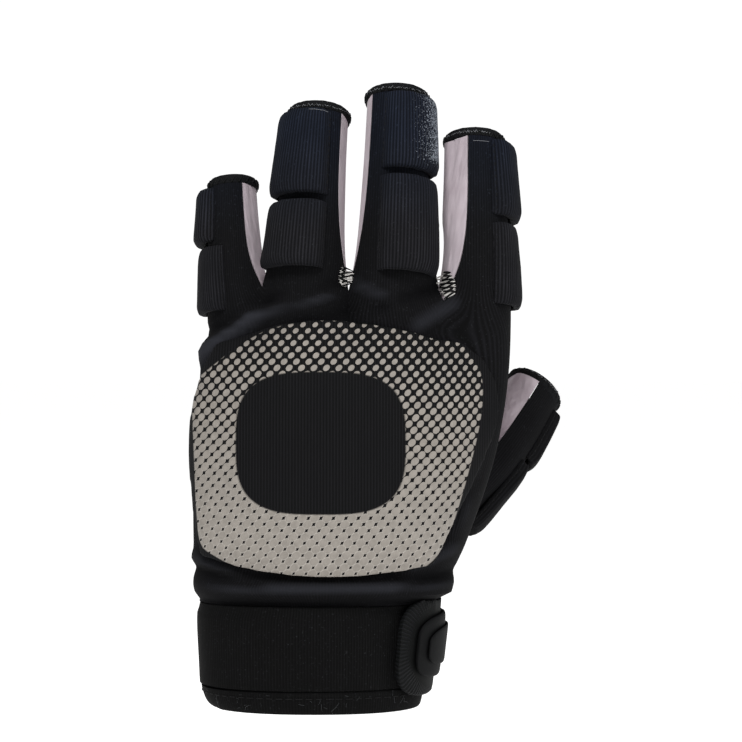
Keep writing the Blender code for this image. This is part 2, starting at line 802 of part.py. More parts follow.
def strap_turns(runs):
    """The direction round the wrist at each run from the strap's round end."""
    steps = 360
    middle = STRAP_HEIGHT
    turn = math.radians(STRAP_START)
    spot = cuff_point(turn, middle, 0.0)
    walked, turns = 0.0, []
    for run in runs:
        while walked < run:
            turn -= 2 * math.pi / steps
            ahead = cuff_point(turn, middle, 0.0)
            walked += (ahead - spot).length
            spot = ahead
        turns.append(turn)
    return turns


def strap_half(run, margin):
    """Half the strap's width at a run from its round end, less a margin all round."""
    half = STRAP_WIDTH / 2 - margin
    if run >= STRAP_ROUND_END:
        return half
    short = (1 - run / STRAP_ROUND_END) ** STRAP_END_SQUARENESS
    return half * max(0.0, 1 - short) ** (1 / STRAP_END_SQUARENESS)


def strap_layer(name, margin, length, base, thickness, kind, collection):
    """One layer of the strap, from its round end to its length round the wrist."""
    starts = [margin + STRAP_ROUND_END * share for share in STRAP_END_SHARES]
    first = margin + STRAP_ROUND_END
    runs = starts + [lerp(first, length, k / STRAP_CELLS) for k in range(STRAP_CELLS + 1)]
    low, high = [], []
    for run, turn in zip(runs, strap_turns(runs)):
        half = strap_half(run - margin, margin)
        heights = [
            STRAP_HEIGHT + half * (2 * k / STRAP_ROWS - 1) for k in range(STRAP_ROWS + 1)
        ]
        low.append([cuff_point(turn, height, base) for height in heights])
        high.append([cuff_point(turn, height, base + thickness) for height in heights])
    return slab(name, low, high, kind, collection)


def add_strap(form, collection):
    """The wrist strap with its moulded tab and the bare patch on it."""
    base = HEM_SWELL + STRAP_GAP
    strap = strap_layer(
        "wrist_strap", 0.0, STRAP_LENGTH, base, STRAP_THICKNESS, BLACK_NEOPRENE, collection
    )
    cut_by(strap, form)
    base += STRAP_THICKNESS + SEAM_GAP
    strap_layer(
        "strap_tab", STRAP_TAB_MARGIN, STRAP_TAB_LENGTH, base, STRAP_TAB_THICKNESS,
        STRAP_RUBBER, collection,
    )
    base += STRAP_TAB_THICKNESS + SEAM_GAP
    strap_layer(
        "strap_patch", STRAP_PATCH_MARGIN, STRAP_PATCH_LENGTH, base, STRAP_PATCH_THICKNESS,
        STRAP_RUBBER, collection,
    )


def clear_scene():
    """Removes every object that the scene starts with."""
    for old in list(bpy.data.objects):
        bpy.data.objects.remove(old, do_unlink=True)


def main():
    clear_scene()
    glove = collection_named("hockey_glove")
    cutters = collection_named("cutters")
    skin, axes = build_skin()
    kinds = {"back_panel": BLACK_KNIT, "palm_panel": GREY_SUEDE}
    kinds.update({gusset_name(k): GREY_SUEDE for k in range(len(STALLS) - 1)})
    kinds.update({"thumb_panel": BLACK_KNIT, "thumb_gusset": GREY_SUEDE})
    inner = sunk_points(skin.points, skin.faces, FABRIC_WALL)
    add_panels(skin, inner, kinds, glove)

    form = add_hand_form("hand_form", skin.points, skin.faces, cutters)
    tree = surface_tree(skin.points, skin.faces)
    for pad in PADS:
        add_finger_pad(tree, form, axes[pad.stall], pad, glove)
    add_back_pad(tree, form, glove)
    for name, axis in axes.items():
        add_finger_hem(f"{name}_hem", axis, glove)

    add_cuff("cuff", CUFF_ROWS, 0.0, 0.0, BLACK_NEOPRENE, glove)
    add_cuff("cuff_hem", CUFF_HEM_ROWS, 0.0, HEM_SWELL, BLACK_BINDING, glove)
    add_strap(form, glove)


main()
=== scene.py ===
# %% [markdown]
# # A padded field hockey glove
#
# This lesson dresses a left-hand glove that was built as plain solids. Each cell gives one piece
# the look of the real material: ribbed knit over foam, pale microfibre, a stretch cuff, a moulded
# strap, and thread. One unit is a metre, so a stitch of 1.3 mm is 0.0013.

# %% Load the solids
import math
import random
from contextlib import contextmanager

import bpy
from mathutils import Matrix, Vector
from mathutils.bvhtree import BVHTree


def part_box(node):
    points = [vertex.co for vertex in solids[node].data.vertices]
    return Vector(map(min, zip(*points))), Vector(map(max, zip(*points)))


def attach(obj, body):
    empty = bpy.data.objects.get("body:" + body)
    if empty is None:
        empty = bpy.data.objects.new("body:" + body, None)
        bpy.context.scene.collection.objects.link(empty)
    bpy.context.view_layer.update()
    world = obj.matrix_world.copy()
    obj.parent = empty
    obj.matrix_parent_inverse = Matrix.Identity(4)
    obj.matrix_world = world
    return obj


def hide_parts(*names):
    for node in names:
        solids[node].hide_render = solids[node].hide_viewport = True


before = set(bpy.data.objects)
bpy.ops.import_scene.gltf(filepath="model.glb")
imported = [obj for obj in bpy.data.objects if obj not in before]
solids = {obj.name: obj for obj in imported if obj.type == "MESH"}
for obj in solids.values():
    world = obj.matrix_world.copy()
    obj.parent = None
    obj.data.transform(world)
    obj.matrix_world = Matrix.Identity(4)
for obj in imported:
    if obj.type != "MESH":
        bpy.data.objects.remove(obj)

scene = bpy.context.scene
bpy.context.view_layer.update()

# %% [markdown]
# ## Camera
#
# The photo was taken straight at the back of the hand, from a fair distance. A long lens keeps
# near and far fingers at their sizes.

# %% Camera
camera_data = bpy.data.cameras.new("photo_camera")
camera_data.lens = 103
camera_data.sensor_width = 36
camera = bpy.data.objects.new("photo_camera", camera_data)
camera.location = (0.0175, -0.70, 0.1096)
camera.rotation_euler = (math.radians(90), 0, 0)
scene.collection.objects.link(camera)
scene.camera = camera
scene.view_settings.view_transform = "Standard"

# %% [markdown]
# ## Small tools
#
# Most steps pick a piece, turn a screen colour into the shader's linear one, or add a node. A
# node's sockets are named or numbered, and each gets a value or a node. One that isn't named
# keeps its own value. A Map Range node reads from socket 1 to socket 2 and gives the numbers from
# socket 3 to socket 4: both go from 0 to 1 if nothing else is said.

# %% Picking and colours
def pick_only(piece):
    """Deselects everything, then selects this piece and makes it the active one."""
    bpy.ops.object.select_all(action="DESELECT")
    piece.select_set(True)
    bpy.context.view_layer.objects.active = piece


def linear(hex_colour):
    """A colour as it looks on a screen as the shader's linear colour."""
    parts = [int(hex_colour[k:k + 2], 16) / 255 for k in (0, 2, 4)]
    straight = [p / 12.92 if p <= 0.04045 else ((p + 0.055) / 1.055) ** 2.4 for p in parts]
    return (*straight, 1.0)


# %% Nodes
# Each pair: a kind of node that is used often, and its settings
MATH = "ShaderNodeMath"
TIMES = (MATH, {"operation": "MULTIPLY"})
TIMES_PLUS = (MATH, {"operation": "MULTIPLY_ADD"})
PLUS = (MATH, {"operation": "ADD"})
MINUS = (MATH, {"operation": "SUBTRACT"})
POWER = (MATH, {"operation": "POWER"})
BLEND = ("ShaderNodeMix", {"data_type": "RGBA"})
RANGE = ("ShaderNodeMapRange", {})
NOISE = ("ShaderNodeTexNoise", {})


def plug(tree, value, socket):
    """Fills a socket from a value or screen colour, a socket, or a node's working output."""
    if isinstance(value, str):
        value = linear(value)
    if isinstance(value, bpy.types.Node):
        value = next(output for output in value.outputs if output.enabled)
    if isinstance(value, bpy.types.NodeSocket):
        tree.links.new(value, socket)
    else:
        socket.default_value = value


def add_node(tree, kind, settings={}, links={}):
    """Adds a node with its settings, and fills its sockets from values, sockets or nodes."""
    node = tree.nodes.new(kind)
    for name, value in settings.items():
        setattr(node, name, value)
    for socket, value in links.items():
        plug(tree, value, node.inputs[socket])
    return node


# %% Materials
CLOTH_IOR = 1.15


def new_material(name, colour, roughness, ior=1.5, more={}):
    """A Principled material with its plain values set, its node tree and its shader."""
    material = bpy.data.materials.new(name)
    material.use_nodes = True
    tree = material.node_tree
    shader = tree.nodes["Principled BSDF"]
    values = {"Base Color": colour, "Roughness": roughness, "IOR": ior, **more}
    for socket, value in values.items():
        plug(tree, value, shader.inputs[socket])
    return material, tree, shader


def dress(tree, shader, colour, height, distance, strength=1.0):
    """Gives a shader its colour, and turns a height into a bump of a real distance."""
    bump = add_node(
        tree, "ShaderNodeBump", links={"Strength": strength, "Distance": distance, "Height": height}
    )
    plug(tree, bump, shader.inputs["Normal"])
    if colour is not None:
        plug(tree, colour, shader.inputs["Base Color"])


# %% [markdown]
# ## Floor, room and lamps
#
# The floor is a white card that glows a little, so that no line shows where it meets the room. A
# soft lamp high in front draws the ribs and the folds, and a weaker one on the right keeps the
# shadow side from going flat. Black cloth shows too bright in a full room, so the room lights the
# glove with less than the camera sees behind it.

# %% Floor
FLOOR_DEPTH = -0.030
FLOOR_GLOW = 0.72
WHITE = (1.0, 1.0, 1.0, 1.0)

bpy.ops.object.select_all(action="DESELECT")
bpy.ops.mesh.primitive_plane_add(size=60.0, location=(0, 0, FLOOR_DEPTH))
floor = bpy.context.object
floor.name = "floor"
glow = {"Emission Color": WHITE, "Emission Strength": FLOOR_GLOW}
floor_paint, tree, shader = new_material("matt_white_card", "f4f4f3", 0.9, more=glow)
floor.data.materials.append(floor_paint)

# %% Room
ROOM_LIGHT = 0.31
ROOM_SEEN = 1.05

world = bpy.data.worlds.new("white_room")
scene.world = world
world.use_nodes = True
room = world.node_tree
seen = add_node(room, "ShaderNodeLightPath").outputs["Is Camera Ray"]
strength = add_node(room, *RANGE, {0: seen, 3: ROOM_LIGHT, 4: ROOM_SEEN})
room.nodes["Background"].inputs["Color"].default_value = WHITE
plug(room, strength, room.nodes["Background"].inputs["Strength"])


# %% Lamps
def add_lamp(name, place, aim, size, power):
    """A square soft lamp at a place, turned towards an aim point."""
    data = bpy.data.lights.new(name, "AREA")
    data.size = size
    data.energy = power
    lamp = bpy.data.objects.new(name, data)
    lamp.location = place
    lamp.rotation_euler = (Vector(aim) - Vector(place)).to_track_quat("-Z", "Y").to_euler()
    scene.collection.objects.link(lamp)


GLOVE_MIDDLE = (0.0, 0.0, 0.10)
add_lamp("key_lamp", (-0.15, -0.60, 0.90), GLOVE_MIDDLE, size=0.35, power=8.5)
add_lamp("side_lamp", (0.75, -0.30, 0.30), GLOVE_MIDDLE, size=0.40, power=2.2)

# %% [markdown]
# ## Where each finger lies
#
# Ribs, seams and hems follow the fingers, so each finger gets a straight line from where it
# leaves the hand to the middle of its opening. A place on a finger is a run along that line and a
# turn round it, where a turn of 0 faces the camera.

# %% Finger lines
STALL_ROOTS = {
    "little": (-0.0264, 0.0023, 0.1355),
    "ring": (-0.0034, -0.0037, 0.1365),
    "middle": (0.0240, -0.0046, 0.1340),
    "index": (0.0516, 0.0000, 0.1295),
    "thumb": (0.0443, 0.0164, 0.0657),
}


class FingerLine:
    """The middle line of one finger of the glove."""

    def __init__(self, name):
        low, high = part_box(f"{name}_hem")
        self.root = Vector(STALL_ROOTS[name])
        self.tip = (Vector(low) + Vector(high)) / 2
        self.way = (self.tip - self.root).normalized()
        self.right = Vector((0, 1, 0)).cross(self.way).normalized()
        self.back = self.way.cross(self.right)
        if self.back.y > 0:
            self.back = -self.back
        self.length = (self.tip - self.root).length

    def place(self, point):
        """A point as its run along the finger, its turn round it and its distance from it."""
        rel = point - self.root
        run = rel.dot(self.way)
        out = rel - self.way * run
        turn = math.atan2(out.dot(self.right), out.dot(self.back))
        return run, turn, out.length

    def point(self, run, turn, reach):
        """The point at a run, a turn and a distance from the line."""
        side = self.back * math.cos(turn) + self.right * math.sin(turn)
        return self.root + self.way * run + side * reach


finger_lines = {name: FingerLine(name) for name in STALL_ROOTS}
for name, line in finger_lines.items():
    print(name, "finger line in mm:", round(line.length * 1000, 1))

# %% [markdown]
# ## A map of the cloth
#
# A knit has a direction, so each piece gets a map named weave, in metres: the way across the ribs
# and the way along them. Round the wrist the way across is measured on an oval. From the knuckles
# on it is measured round the finger, and one map fades into the other, so that no rib jumps.

# %% Weave maps
HAND_HALF_WIDTH = 0.043
HAND_HALF_DEPTH = 0.024
HAND_MIDDLE = 0.002
OVAL_STEPS = 24
FINGER_RADIUS = 0.0125
KNUCKLES_LOW = 0.120
KNUCKLES_HIGH = 0.141


def smooth(low, high, value):
    """A soft step: 0 below low, 1 above high."""
    share = max(0.0, min(1.0, (value - low) / (high - low)))
    return share * share * (3 - 2 * share)


def way_round(point, half_width=HAND_HALF_WIDTH, half_depth=HAND_HALF_DEPTH, middle=HAND_MIDDLE):
    """The distance round an oval section, from the middle of the back of the hand."""
    turn = math.atan2((point.x - middle) / half_width, -point.y / half_depth)
    total = 0.0
    for k in range(OVAL_STEPS):
        part = turn * (k + 0.5) / OVAL_STEPS
        speed = math.hypot(half_width * math.cos(part), half_depth * math.sin(part))
        total += speed * turn / OVAL_STEPS
    return total


def hand_weave(point):
    """The weave of a piece that goes round the hand."""
    return way_round(point), point.z


def finger_weave(name):
    """The weave of a piece that lies along one finger."""
    line = finger_lines[name]

    def place(point):
        run, turn, reach = line.place(point)
        return turn * FINGER_RADIUS, run

    return place


def back_weave(point):
    """The weave of the back panel: the hand's below the knuckles, then the nearest finger's."""
    fingers = ("little", "ring", "middle", "index")
    line = min((finger_lines[name] for name in fingers), key=lambda one: one.place(point)[2])
    run, turn, reach = line.place(point)
    start = way_round(line.point(0.0, 0.0, FINGER_RADIUS))
    share = smooth(KNUCKLES_LOW, KNUCKLES_HIGH, point.z)
    across = way_round(point) * (1 - share) + (start + turn * FINGER_RADIUS) * share
    along = point.z * (1 - share) + (line.root.z + run) * share
    return across, along


def lay_weave(piece, place):
    """Gives a piece its weave map: place(point) gives the way across and along."""
    mesh = piece.data
    while mesh.uv_layers:
        mesh.uv_layers.remove(mesh.uv_layers[0])
    layer = mesh.uv_layers.new(name="weave")
    found = [place(v.co) for v in mesh.vertices]
    for loop in mesh.loops:
        layer.data[loop.index].uv = found[loop.vertex_index]


# %% [markdown]
# ## Ribbed knit
#
# The back of the glove is a fine knit with ribs about 1 mm apart. A finger's map is measured at
# one radius and its pads lie further out, so their pitch in the map is smaller. A rib is a narrow
# raised line between flat grooves: the squared sine of the way across. Stretched noise makes some
# ribs slacker than others. The crowns are painted paler in patches, a painted highlight, and the
# grooves darker as painted shade. Knit hardly mirrors anything, so its IOR is near that of air.

# %% Rib signal
CROWN_SHARPNESS = 1.6
SLACK_STRETCH = (1.0, 0.07, 1.0)


def rib_signal(tree, pitch, unevenness):
    """Nodes for ribs, 0 in the grooves and 1 on the crowns. Gives the weave map's nodes too."""
    weave = add_node(tree, "ShaderNodeUVMap", {"uv_map": "weave"})
    parts = add_node(tree, "ShaderNodeSeparateXYZ", links={0: weave})
    across = parts.outputs["X"]
    turns = add_node(tree, *TIMES, {0: across, 1: math.pi / pitch})
    wave = add_node(tree, MATH, {"operation": "SINE"}, {0: turns})
    square = add_node(tree, *TIMES, {0: wave, 1: wave})
    crown = add_node(tree, *POWER, {0: square, 1: CROWN_SHARPNESS})
    stretched = add_node(tree, "ShaderNodeMapping", links={"Vector": weave, "Scale": SLACK_STRETCH})
    slack = add_node(tree, *NOISE, {"Vector": stretched, "Scale": 900.0})
    share = add_node(tree, *TIMES_PLUS, {0: slack, 1: 2 * unevenness, 2: 1.0 - unevenness})
    ribs = add_node(tree, *TIMES, {0: crown, 1: share})
    return ribs, weave, parts


# %% Knit
KNIT_UNEVENNESS = 0.8
KNIT_SHEEN = {"Sheen Weight": 0.012, "Sheen Roughness": 0.4}
FLUFF_RANGE = {1: 0.62, 2: 0.85, 4: 0.35}
FLUFF_COLOUR = "4c4e52"


def knit(name, dark, light, pitch, depth):
    """Ribbed knit. Gives the material, its tree and shader, and the colour's node."""
    material, tree, shader = new_material(name, dark, 0.85, CLOTH_IOR, KNIT_SHEEN)
    ribs, weave, parts = rib_signal(tree, pitch, KNIT_UNEVENNESS)
    loops = add_node(tree, *NOISE, {"Vector": weave, "Scale": 1500.0})
    height = add_node(tree, *TIMES_PLUS, {0: loops, 1: 0.5, 2: ribs})
    place = add_node(tree, "ShaderNodeTexCoord").outputs["Object"]
    patches = add_node(tree, *NOISE, {"Vector": place, "Scale": 60.0})
    crown = add_node(tree, *TIMES, {0: ribs, 1: patches})
    # Painted highlight on the rib crowns in patches, painted shade in the grooves
    cloth = add_node(tree, *BLEND, {0: crown, 6: dark, 7: light})
    specks = add_node(tree, *NOISE, {"Vector": place, "Scale": 1700.0, "Detail": 5.0})
    fluff = add_node(tree, *RANGE, {0: specks, **FLUFF_RANGE})
    colour = add_node(tree, *BLEND, {0: fluff, 6: cloth, 7: FLUFF_COLOUR})
    dress(tree, shader, colour, height, depth)
    return material, tree, shader, colour


finger_knit, finger_tree, finger_shader, finger_colour = knit(
    "black_ribbed_knit", "0c0c0e", "28282c", 0.00078, 0.00004
)
hand_knit, hand_tree, hand_shader, hand_colour = knit(
    "black_fine_knit", "080809", "161619", 0.0009, 0.00002
)
cuff_knit = knit("black_stretch_cuff", "060606", "121213", 0.0009, 0.00003)[0]

# %% [markdown]
# ## Painted blue light, and lint with painted glints, on the fingers
#
# The long fingers catch a cool blue light, which is painted into the knit: its colour is multiplied
# by a painted blue light that fades in above the lower pads. The edge of the middle finger has
# picked up fine specks of lint, painted pale as glints where the light catches them.

# %% Painted blue light
# Red, green and blue are multiplied by these painted blue lights. The shell's plain knit is darker
# than the pads'
PAD_BLUE_LIGHT = (0.80, 1.05, 1.50, 1.0)
SHELL_BLUE_LIGHT = (1.10, 1.40, 2.00, 1.0)
BLUE_LIGHT_RISE = {1: 0.155, 2: 0.188}


def object_place(tree):
    """The place on the object as one socket, and its X and Z."""
    place = add_node(tree, "ShaderNodeTexCoord").outputs["Object"]
    where = add_node(tree, "ShaderNodeSeparateXYZ", links={0: place})
    return place, where.outputs["X"], where.outputs["Z"]


def paint_blue_light_above(tree, colour, blue_light):
    """Paints a blue light into a colour from the middle of the fingers up."""
    place, x, z = object_place(tree)
    rise = add_node(tree, *RANGE, {0: z, **BLUE_LIGHT_RISE})
    multiply = {"data_type": "RGBA", "blend_type": "MULTIPLY"}
    return add_node(tree, "ShaderNodeMix", multiply, {0: rise, 6: colour, 7: blue_light})


# %% Lint with painted glints
LINT_GLINT_SIDE = {1: 0.0275, 2: 0.0400, 4: 0.34}
LINT_GLINT_RISE = {1: 0.1735, 2: 0.1790}
LINT_GLINT_SHOWN = {1: 0.80, 2: 0.90, 4: 0.8}
LINT_GLINT_END = 0.0425
LINT_GLINT_COLOUR = "9aa1ab"


def lay_lint_and_glint(tree, colour):
    """Lays lint with painted glints over a colour, on the thumb side of the middle finger."""
    place, x, z = object_place(tree)
    side = add_node(tree, *RANGE, {0: x, **LINT_GLINT_SIDE})
    limit = add_node(tree, MATH, {"operation": "LESS_THAN"}, {0: x, 1: LINT_GLINT_END})
    rise = add_node(tree, *RANGE, {0: z, **LINT_GLINT_RISE})
    field = add_node(tree, *TIMES, {0: side, 1: rise})
    field = add_node(tree, *TIMES, {0: field, 1: limit})
    grain = add_node(tree, *NOISE, {"Vector": place, "Scale": 2600.0})
    total = add_node(tree, *PLUS, {0: grain, 1: field})
    # Lint on the pilled knit, painted pale as glints where it catches the light
    lint = add_node(tree, *RANGE, {0: total, **LINT_GLINT_SHOWN})
    return add_node(tree, *BLEND, {0: lint, 6: colour, 7: LINT_GLINT_COLOUR})


finger_blue_lit = paint_blue_light_above(finger_tree, finger_colour, PAD_BLUE_LIGHT)
plug(finger_tree, lay_lint_and_glint(finger_tree, finger_blue_lit), finger_shader.inputs["Base Color"])

# %% [markdown]
# ## Painted highlights on crests and painted shade in valleys
#
# A fold shows by its light, and that light is painted into the colour: its crest gets a painted
# highlight, and its valley painted shade. The back panel's mesh carries the height of its folds,
# and the colour follows it.

# %% Painted light on the folds
# Each row: the range of the height that shows a tone, and the tone. The first row is a painted
# highlight on the crests, the second painted shade in the valleys
FOLD_HIGHLIGHT_AND_SHADE = (({1: 0.1, 4: 0.8}, "292a2f"), ({1: -0.8, 2: 0.0, 3: 0.9, 4: 0.0}, "020203"))

hand_tone = paint_blue_light_above(hand_tree, hand_colour, SHELL_BLUE_LIGHT)
crest = add_node(hand_tree, "ShaderNodeAttribute", {"attribute_name": "crest"}).outputs["Fac"]
for span, tone in FOLD_HIGHLIGHT_AND_SHADE:
    share = add_node(hand_tree, *RANGE, {0: crest, **span})
    hand_tone = add_node(hand_tree, *BLEND, {0: share, 6: hand_tone, 7: tone})
plug(hand_tree, hand_tone, hand_shader.inputs["Base Color"])

# %% [markdown]
# ## Pale microfibre
#
# The sides of the fingers and the palm are a thin synthetic suede. It has no weave to see, but a
# soft nap: cloudy changes of tone, a fine grain, a sheen towards the edges, and soft folds along
# the finger where it is slack.

# %% Suede
FOLDS_ALONG = (1.0, 1.0, 0.16)

nap = {"Sheen Weight": 0.15, "Sheen Roughness": 0.4, "Specular IOR Level": 0.2}
suede, tree, shader = new_material("pale_brushed_microfibre", "cfc4c8", 0.8, more=nap)
place = add_node(tree, "ShaderNodeTexCoord").outputs["Object"]
clouds = add_node(tree, *NOISE, {"Vector": place, "Scale": 120.0, "Detail": 4.0})
tone = add_node(tree, *BLEND, {0: clouds, 6: "9d8f96", 7: "c2b8be"})
stretched = add_node(tree, "ShaderNodeMapping", links={"Vector": place, "Scale": FOLDS_ALONG})
folds = add_node(tree, *NOISE, {"Vector": stretched, "Scale": 190.0})
grain = add_node(tree, *NOISE, {"Vector": place, "Scale": 2400.0, "Detail": 3.0})
height = add_node(tree, *TIMES_PLUS, {0: grain, 1: 0.05, 2: folds})
dress(tree, shader, tone, height, 0.0016)

# %% [markdown]
# ## Tape, moulded rubber and thread
#
# The openings are bound with a black tape, and the tab of the strap is moulded rubber. Both are
# two close tones in a fine grain, which is their relief too. Sewing thread is twisted polyester,
# and its plies show as fine slanting lines.

# %% Tape and moulded rubber
def grained(name, dark, light, scale, distance, strength, roughness, ior):
    """A material with a fine grain of two tones."""
    material, tree, shader = new_material(name, dark, roughness, ior)
    place = add_node(tree, "ShaderNodeTexCoord").outputs["Object"]
    grain = add_node(tree, *NOISE, {"Vector": place, "Scale": scale})
    tone = add_node(tree, *BLEND, {0: grain, 6: dark, 7: light})
    dress(tree, shader, tone, grain, distance, strength)
    return material


# The numbers: the grain's scale, the relief and its strength, the roughness and the IOR
tape = grained("black_binding_tape", "070708", "1a1b1d", 1500.0, 0.0002, 0.8, 0.8, CLOTH_IOR)
moulded = grained("moulded_rubber", "050506", "0b0c0d", 1800.0, 0.0001, 0.4, 0.70, 1.18)


# %% Thread materials
def thread_material(name, colour):
    """Twisted thread: a colour, and a fine slanting bump of its plies."""
    material, tree, shader = new_material(name, colour, roughness=0.6, ior=1.25)
    place = add_node(tree, "ShaderNodeTexCoord").outputs["Object"]
    slanting = {"bands_direction": "DIAGONAL"}
    plies = add_node(tree, "ShaderNodeTexWave", slanting, {"Vector": place, "Scale": 1300.0})
    dress(tree, shader, None, plies, 0.00005, strength=0.5)
    return material


black_thread = thread_material("black_polyester_thread", "070708")
pale_thread = thread_material("pale_polyester_thread", "c9c6c2")
loose_thread = thread_material("grey_loose_thread", "84868a")
lint_fibre = thread_material("grey_lint_fibre", "3b3d3f")

# %% [markdown]
# ## Strap rubber
#
# The strap is foam rubber with a knit face. Short ribs were pressed across its border. They
# follow the edge round the end and stop where the smooth band begins.

# %% Strap rubber
RIBBED_BORDER = {1: 0.0018, 2: 0.0030, 3: 1.0, 4: 0.0}

strap_face, tree, shader = new_material("pressed_foam_rubber", "0c0d0e", 0.7, ior=1.20)
ribs, weave, parts = rib_signal(tree, pitch=0.0012, unevenness=0.2)
border = add_node(tree, *RANGE, {0: parts.outputs["Y"], **RIBBED_BORDER})
shown = add_node(tree, *TIMES, {0: ribs, 1: border})
# Painted highlight on the crowns of the pressed ribs, painted shade between them
tone = add_node(tree, *BLEND, {0: shown, 6: "040505", 7: "111214"})
dress(tree, shader, tone, shown, 0.0003)

# %% [markdown]
# ## The dotted print on the back pad
#
# Rubber ink is printed on the knit as dots, each row shifted by half a dot from the row below.
# Small dots stand apart at the top. They grow down the pad until they join, and at the bottom
# only pinholes of black are left. Each dot keeps its raised rim, which gets a painted highlight.
# The stretched cloth draws the dots out to ovals, so they touch along slanting rows first.
#
# The distance to the nearest dot is compared with a radius that a ramp reads from the height. A
# plain rounded field in the middle gets no ink, and the pad's mesh carries the distance to the
# print's edge.

# %% Dot grid
DOT_PITCH = 0.00395
DOT_LEAN = 0.16
OVAL_TURN = math.radians(38)
OVAL_STRETCH = (1.07, 0.94, 1.0)

pad_print, tree, shader = new_material("dotted_rubber_ink_on_knit", "a9a49d", 0.65, ior=1.20)
ribs, weave, parts = rib_signal(tree, pitch=0.0010, unevenness=0.5)
across, up = parts.outputs["X"], parts.outputs["Y"]
leaning = add_node(tree, *TIMES_PLUS, {0: up, 1: -DOT_LEAN, 2: across})
dot_distances = []
for shift in (0.0, DOT_PITCH / 2):
    ends = []
    for value in (leaning, up):
        moved = add_node(tree, *PLUS, {0: value, 1: shift})
        one_dot = {0: moved, 1: DOT_PITCH / 2, 2: -DOT_PITCH / 2}
        ends.append(add_node(tree, MATH, {"operation": "WRAP"}, one_dot))
    offset = add_node(tree, "ShaderNodeCombineXYZ", links={0: ends[0], 1: ends[1]})
    oval = add_node(
        tree, "ShaderNodeMapping", {"vector_type": "TEXTURE"},
        {"Vector": offset, "Rotation": (0.0, 0.0, OVAL_TURN), "Scale": OVAL_STRETCH},
    )
    dot_distances.append(add_node(tree, "ShaderNodeVectorMath", {"operation": "LENGTH"}, {0: oval}))
distance = add_node(tree, MATH, {"operation": "MINIMUM"}, dict(enumerate(dot_distances)))

# %% Dot size by height
PRINT_LOW = 0.040
PRINT_HIGH = 0.130
PRINT_SLANT = 0.16
RADIUS_UNIT = 0.0025
# Each row: a height on the pad, and the radius of the dots there
DOT_RADII = (
    (0.044, 0.00166), (0.058, 0.00160), (0.072, 0.00149), (0.088, 0.00134),
    (0.102, 0.00119), (0.115, 0.00101), (0.128, 0.00084),
)
DOT_EDGE = {1: -0.00004, 2: 0.00008}

slant = add_node(tree, *TIMES_PLUS, {0: across, 1: PRINT_SLANT, 2: up})
share = add_node(tree, *RANGE, {0: slant, 1: PRINT_LOW, 2: PRINT_HIGH})
growth = add_node(tree, "ShaderNodeValToRGB", links={0: share})
stops = growth.color_ramp.elements
while len(stops) < len(DOT_RADII):
    stops.new(0.5)
for stop, (height, radius) in zip(stops, DOT_RADII):
    stop.position = (height - PRINT_LOW) / (PRINT_HIGH - PRINT_LOW)
    stop.color = (radius / RADIUS_UNIT,) * 3 + (1.0,)
radius = add_node(tree, *TIMES, {0: growth, 1: RADIUS_UNIT})
inside = add_node(tree, *MINUS, {0: radius, 1: distance})
dots = add_node(tree, *RANGE, {0: inside, **DOT_EDGE})

# %% The bare field
BARE_MIDDLE = (0.0015, 0.0868)
BARE_HALF = (0.0270, 0.0225)
BARE_SQUARENESS = 3.2
BARE_EDGE = {1: 0.97, 2: 1.03}

place, *sides = object_place(tree)
bare_terms = []
for side, middle, half in zip(sides, BARE_MIDDLE, BARE_HALF):
    offset = add_node(tree, *MINUS, {0: side, 1: middle})
    part = add_node(tree, MATH, {"operation": "DIVIDE"}, {0: offset, 1: half})
    size = add_node(tree, MATH, {"operation": "ABSOLUTE"}, {0: part})
    bare_terms.append(add_node(tree, *POWER, {0: size, 1: BARE_SQUARENESS}))
bare = add_node(tree, *PLUS, dict(enumerate(bare_terms)))
printed = add_node(tree, *RANGE, {0: bare, **BARE_EDGE})
dots = add_node(tree, *TIMES, {0: dots, 1: printed})

# %% Where the ink ends
INK_END = {1: 0.0004, 2: 0.0007}

edge = add_node(tree, "ShaderNodeAttribute", {"attribute_name": "print_margin"}).outputs["Fac"]
field = add_node(tree, *RANGE, {0: edge, **INK_END})
inked = add_node(tree, *TIMES, {0: dots, 1: field})

# %% Ink over knit
DOT_RIM_HIGHLIGHT = {1: 0.00120, 2: 0.00140, 4: 0.25}
DOT_DOME = {1: 0.0010, 2: 0.0019, 3: 1.0, 4: 0.45}
INK_SHINE = {3: 0.85, 4: 0.55}
INK_HEIGHT = 0.0004

cloud = add_node(tree, *NOISE, {"Vector": place, "Scale": 420.0, "Detail": 4.0})
ink = add_node(tree, *BLEND, {0: cloud, 6: "736e68", 7: "958f88"})
# Painted highlight: the rim of each dot is painted paler
rim = add_node(tree, *RANGE, {0: distance, **DOT_RIM_HIGHLIGHT})
ink = add_node(tree, *BLEND, {0: rim, 6: ink, 7: "c4bfb8"})
# The bare knit between the dots: painted highlight on the rib crowns, painted shade in the grooves
cloth = add_node(tree, *BLEND, {0: ribs, 6: "060607", 7: "121214"})
colour = add_node(tree, *BLEND, {0: inked, 6: cloth, 7: ink})
dome = add_node(tree, *RANGE, {0: distance, **DOT_DOME})
dome = add_node(tree, *TIMES, {0: dome, 1: inked})
height = add_node(tree, *TIMES_PLUS, {0: ribs, 1: 0.08, 2: dome})
dress(tree, shader, colour, height, INK_HEIGHT)
shine = add_node(tree, *RANGE, {0: inked, **INK_SHINE})
plug(tree, shine, shader.inputs["Roughness"])
print("materials:", len(bpy.data.materials), "nodes of the print:", len(tree.nodes))

# %% [markdown]
# ## Turning a solid into cloth
#
# Each solid is copied, its loose triangles are merged, and its rims are creased before it is
# subdivided. The crease holds the seam where it is, while the cloth between the seams goes round.
# The copy then stands for the solid. Cloth is cut flat before it is sewn, so each panel also
# states the size of its cut.

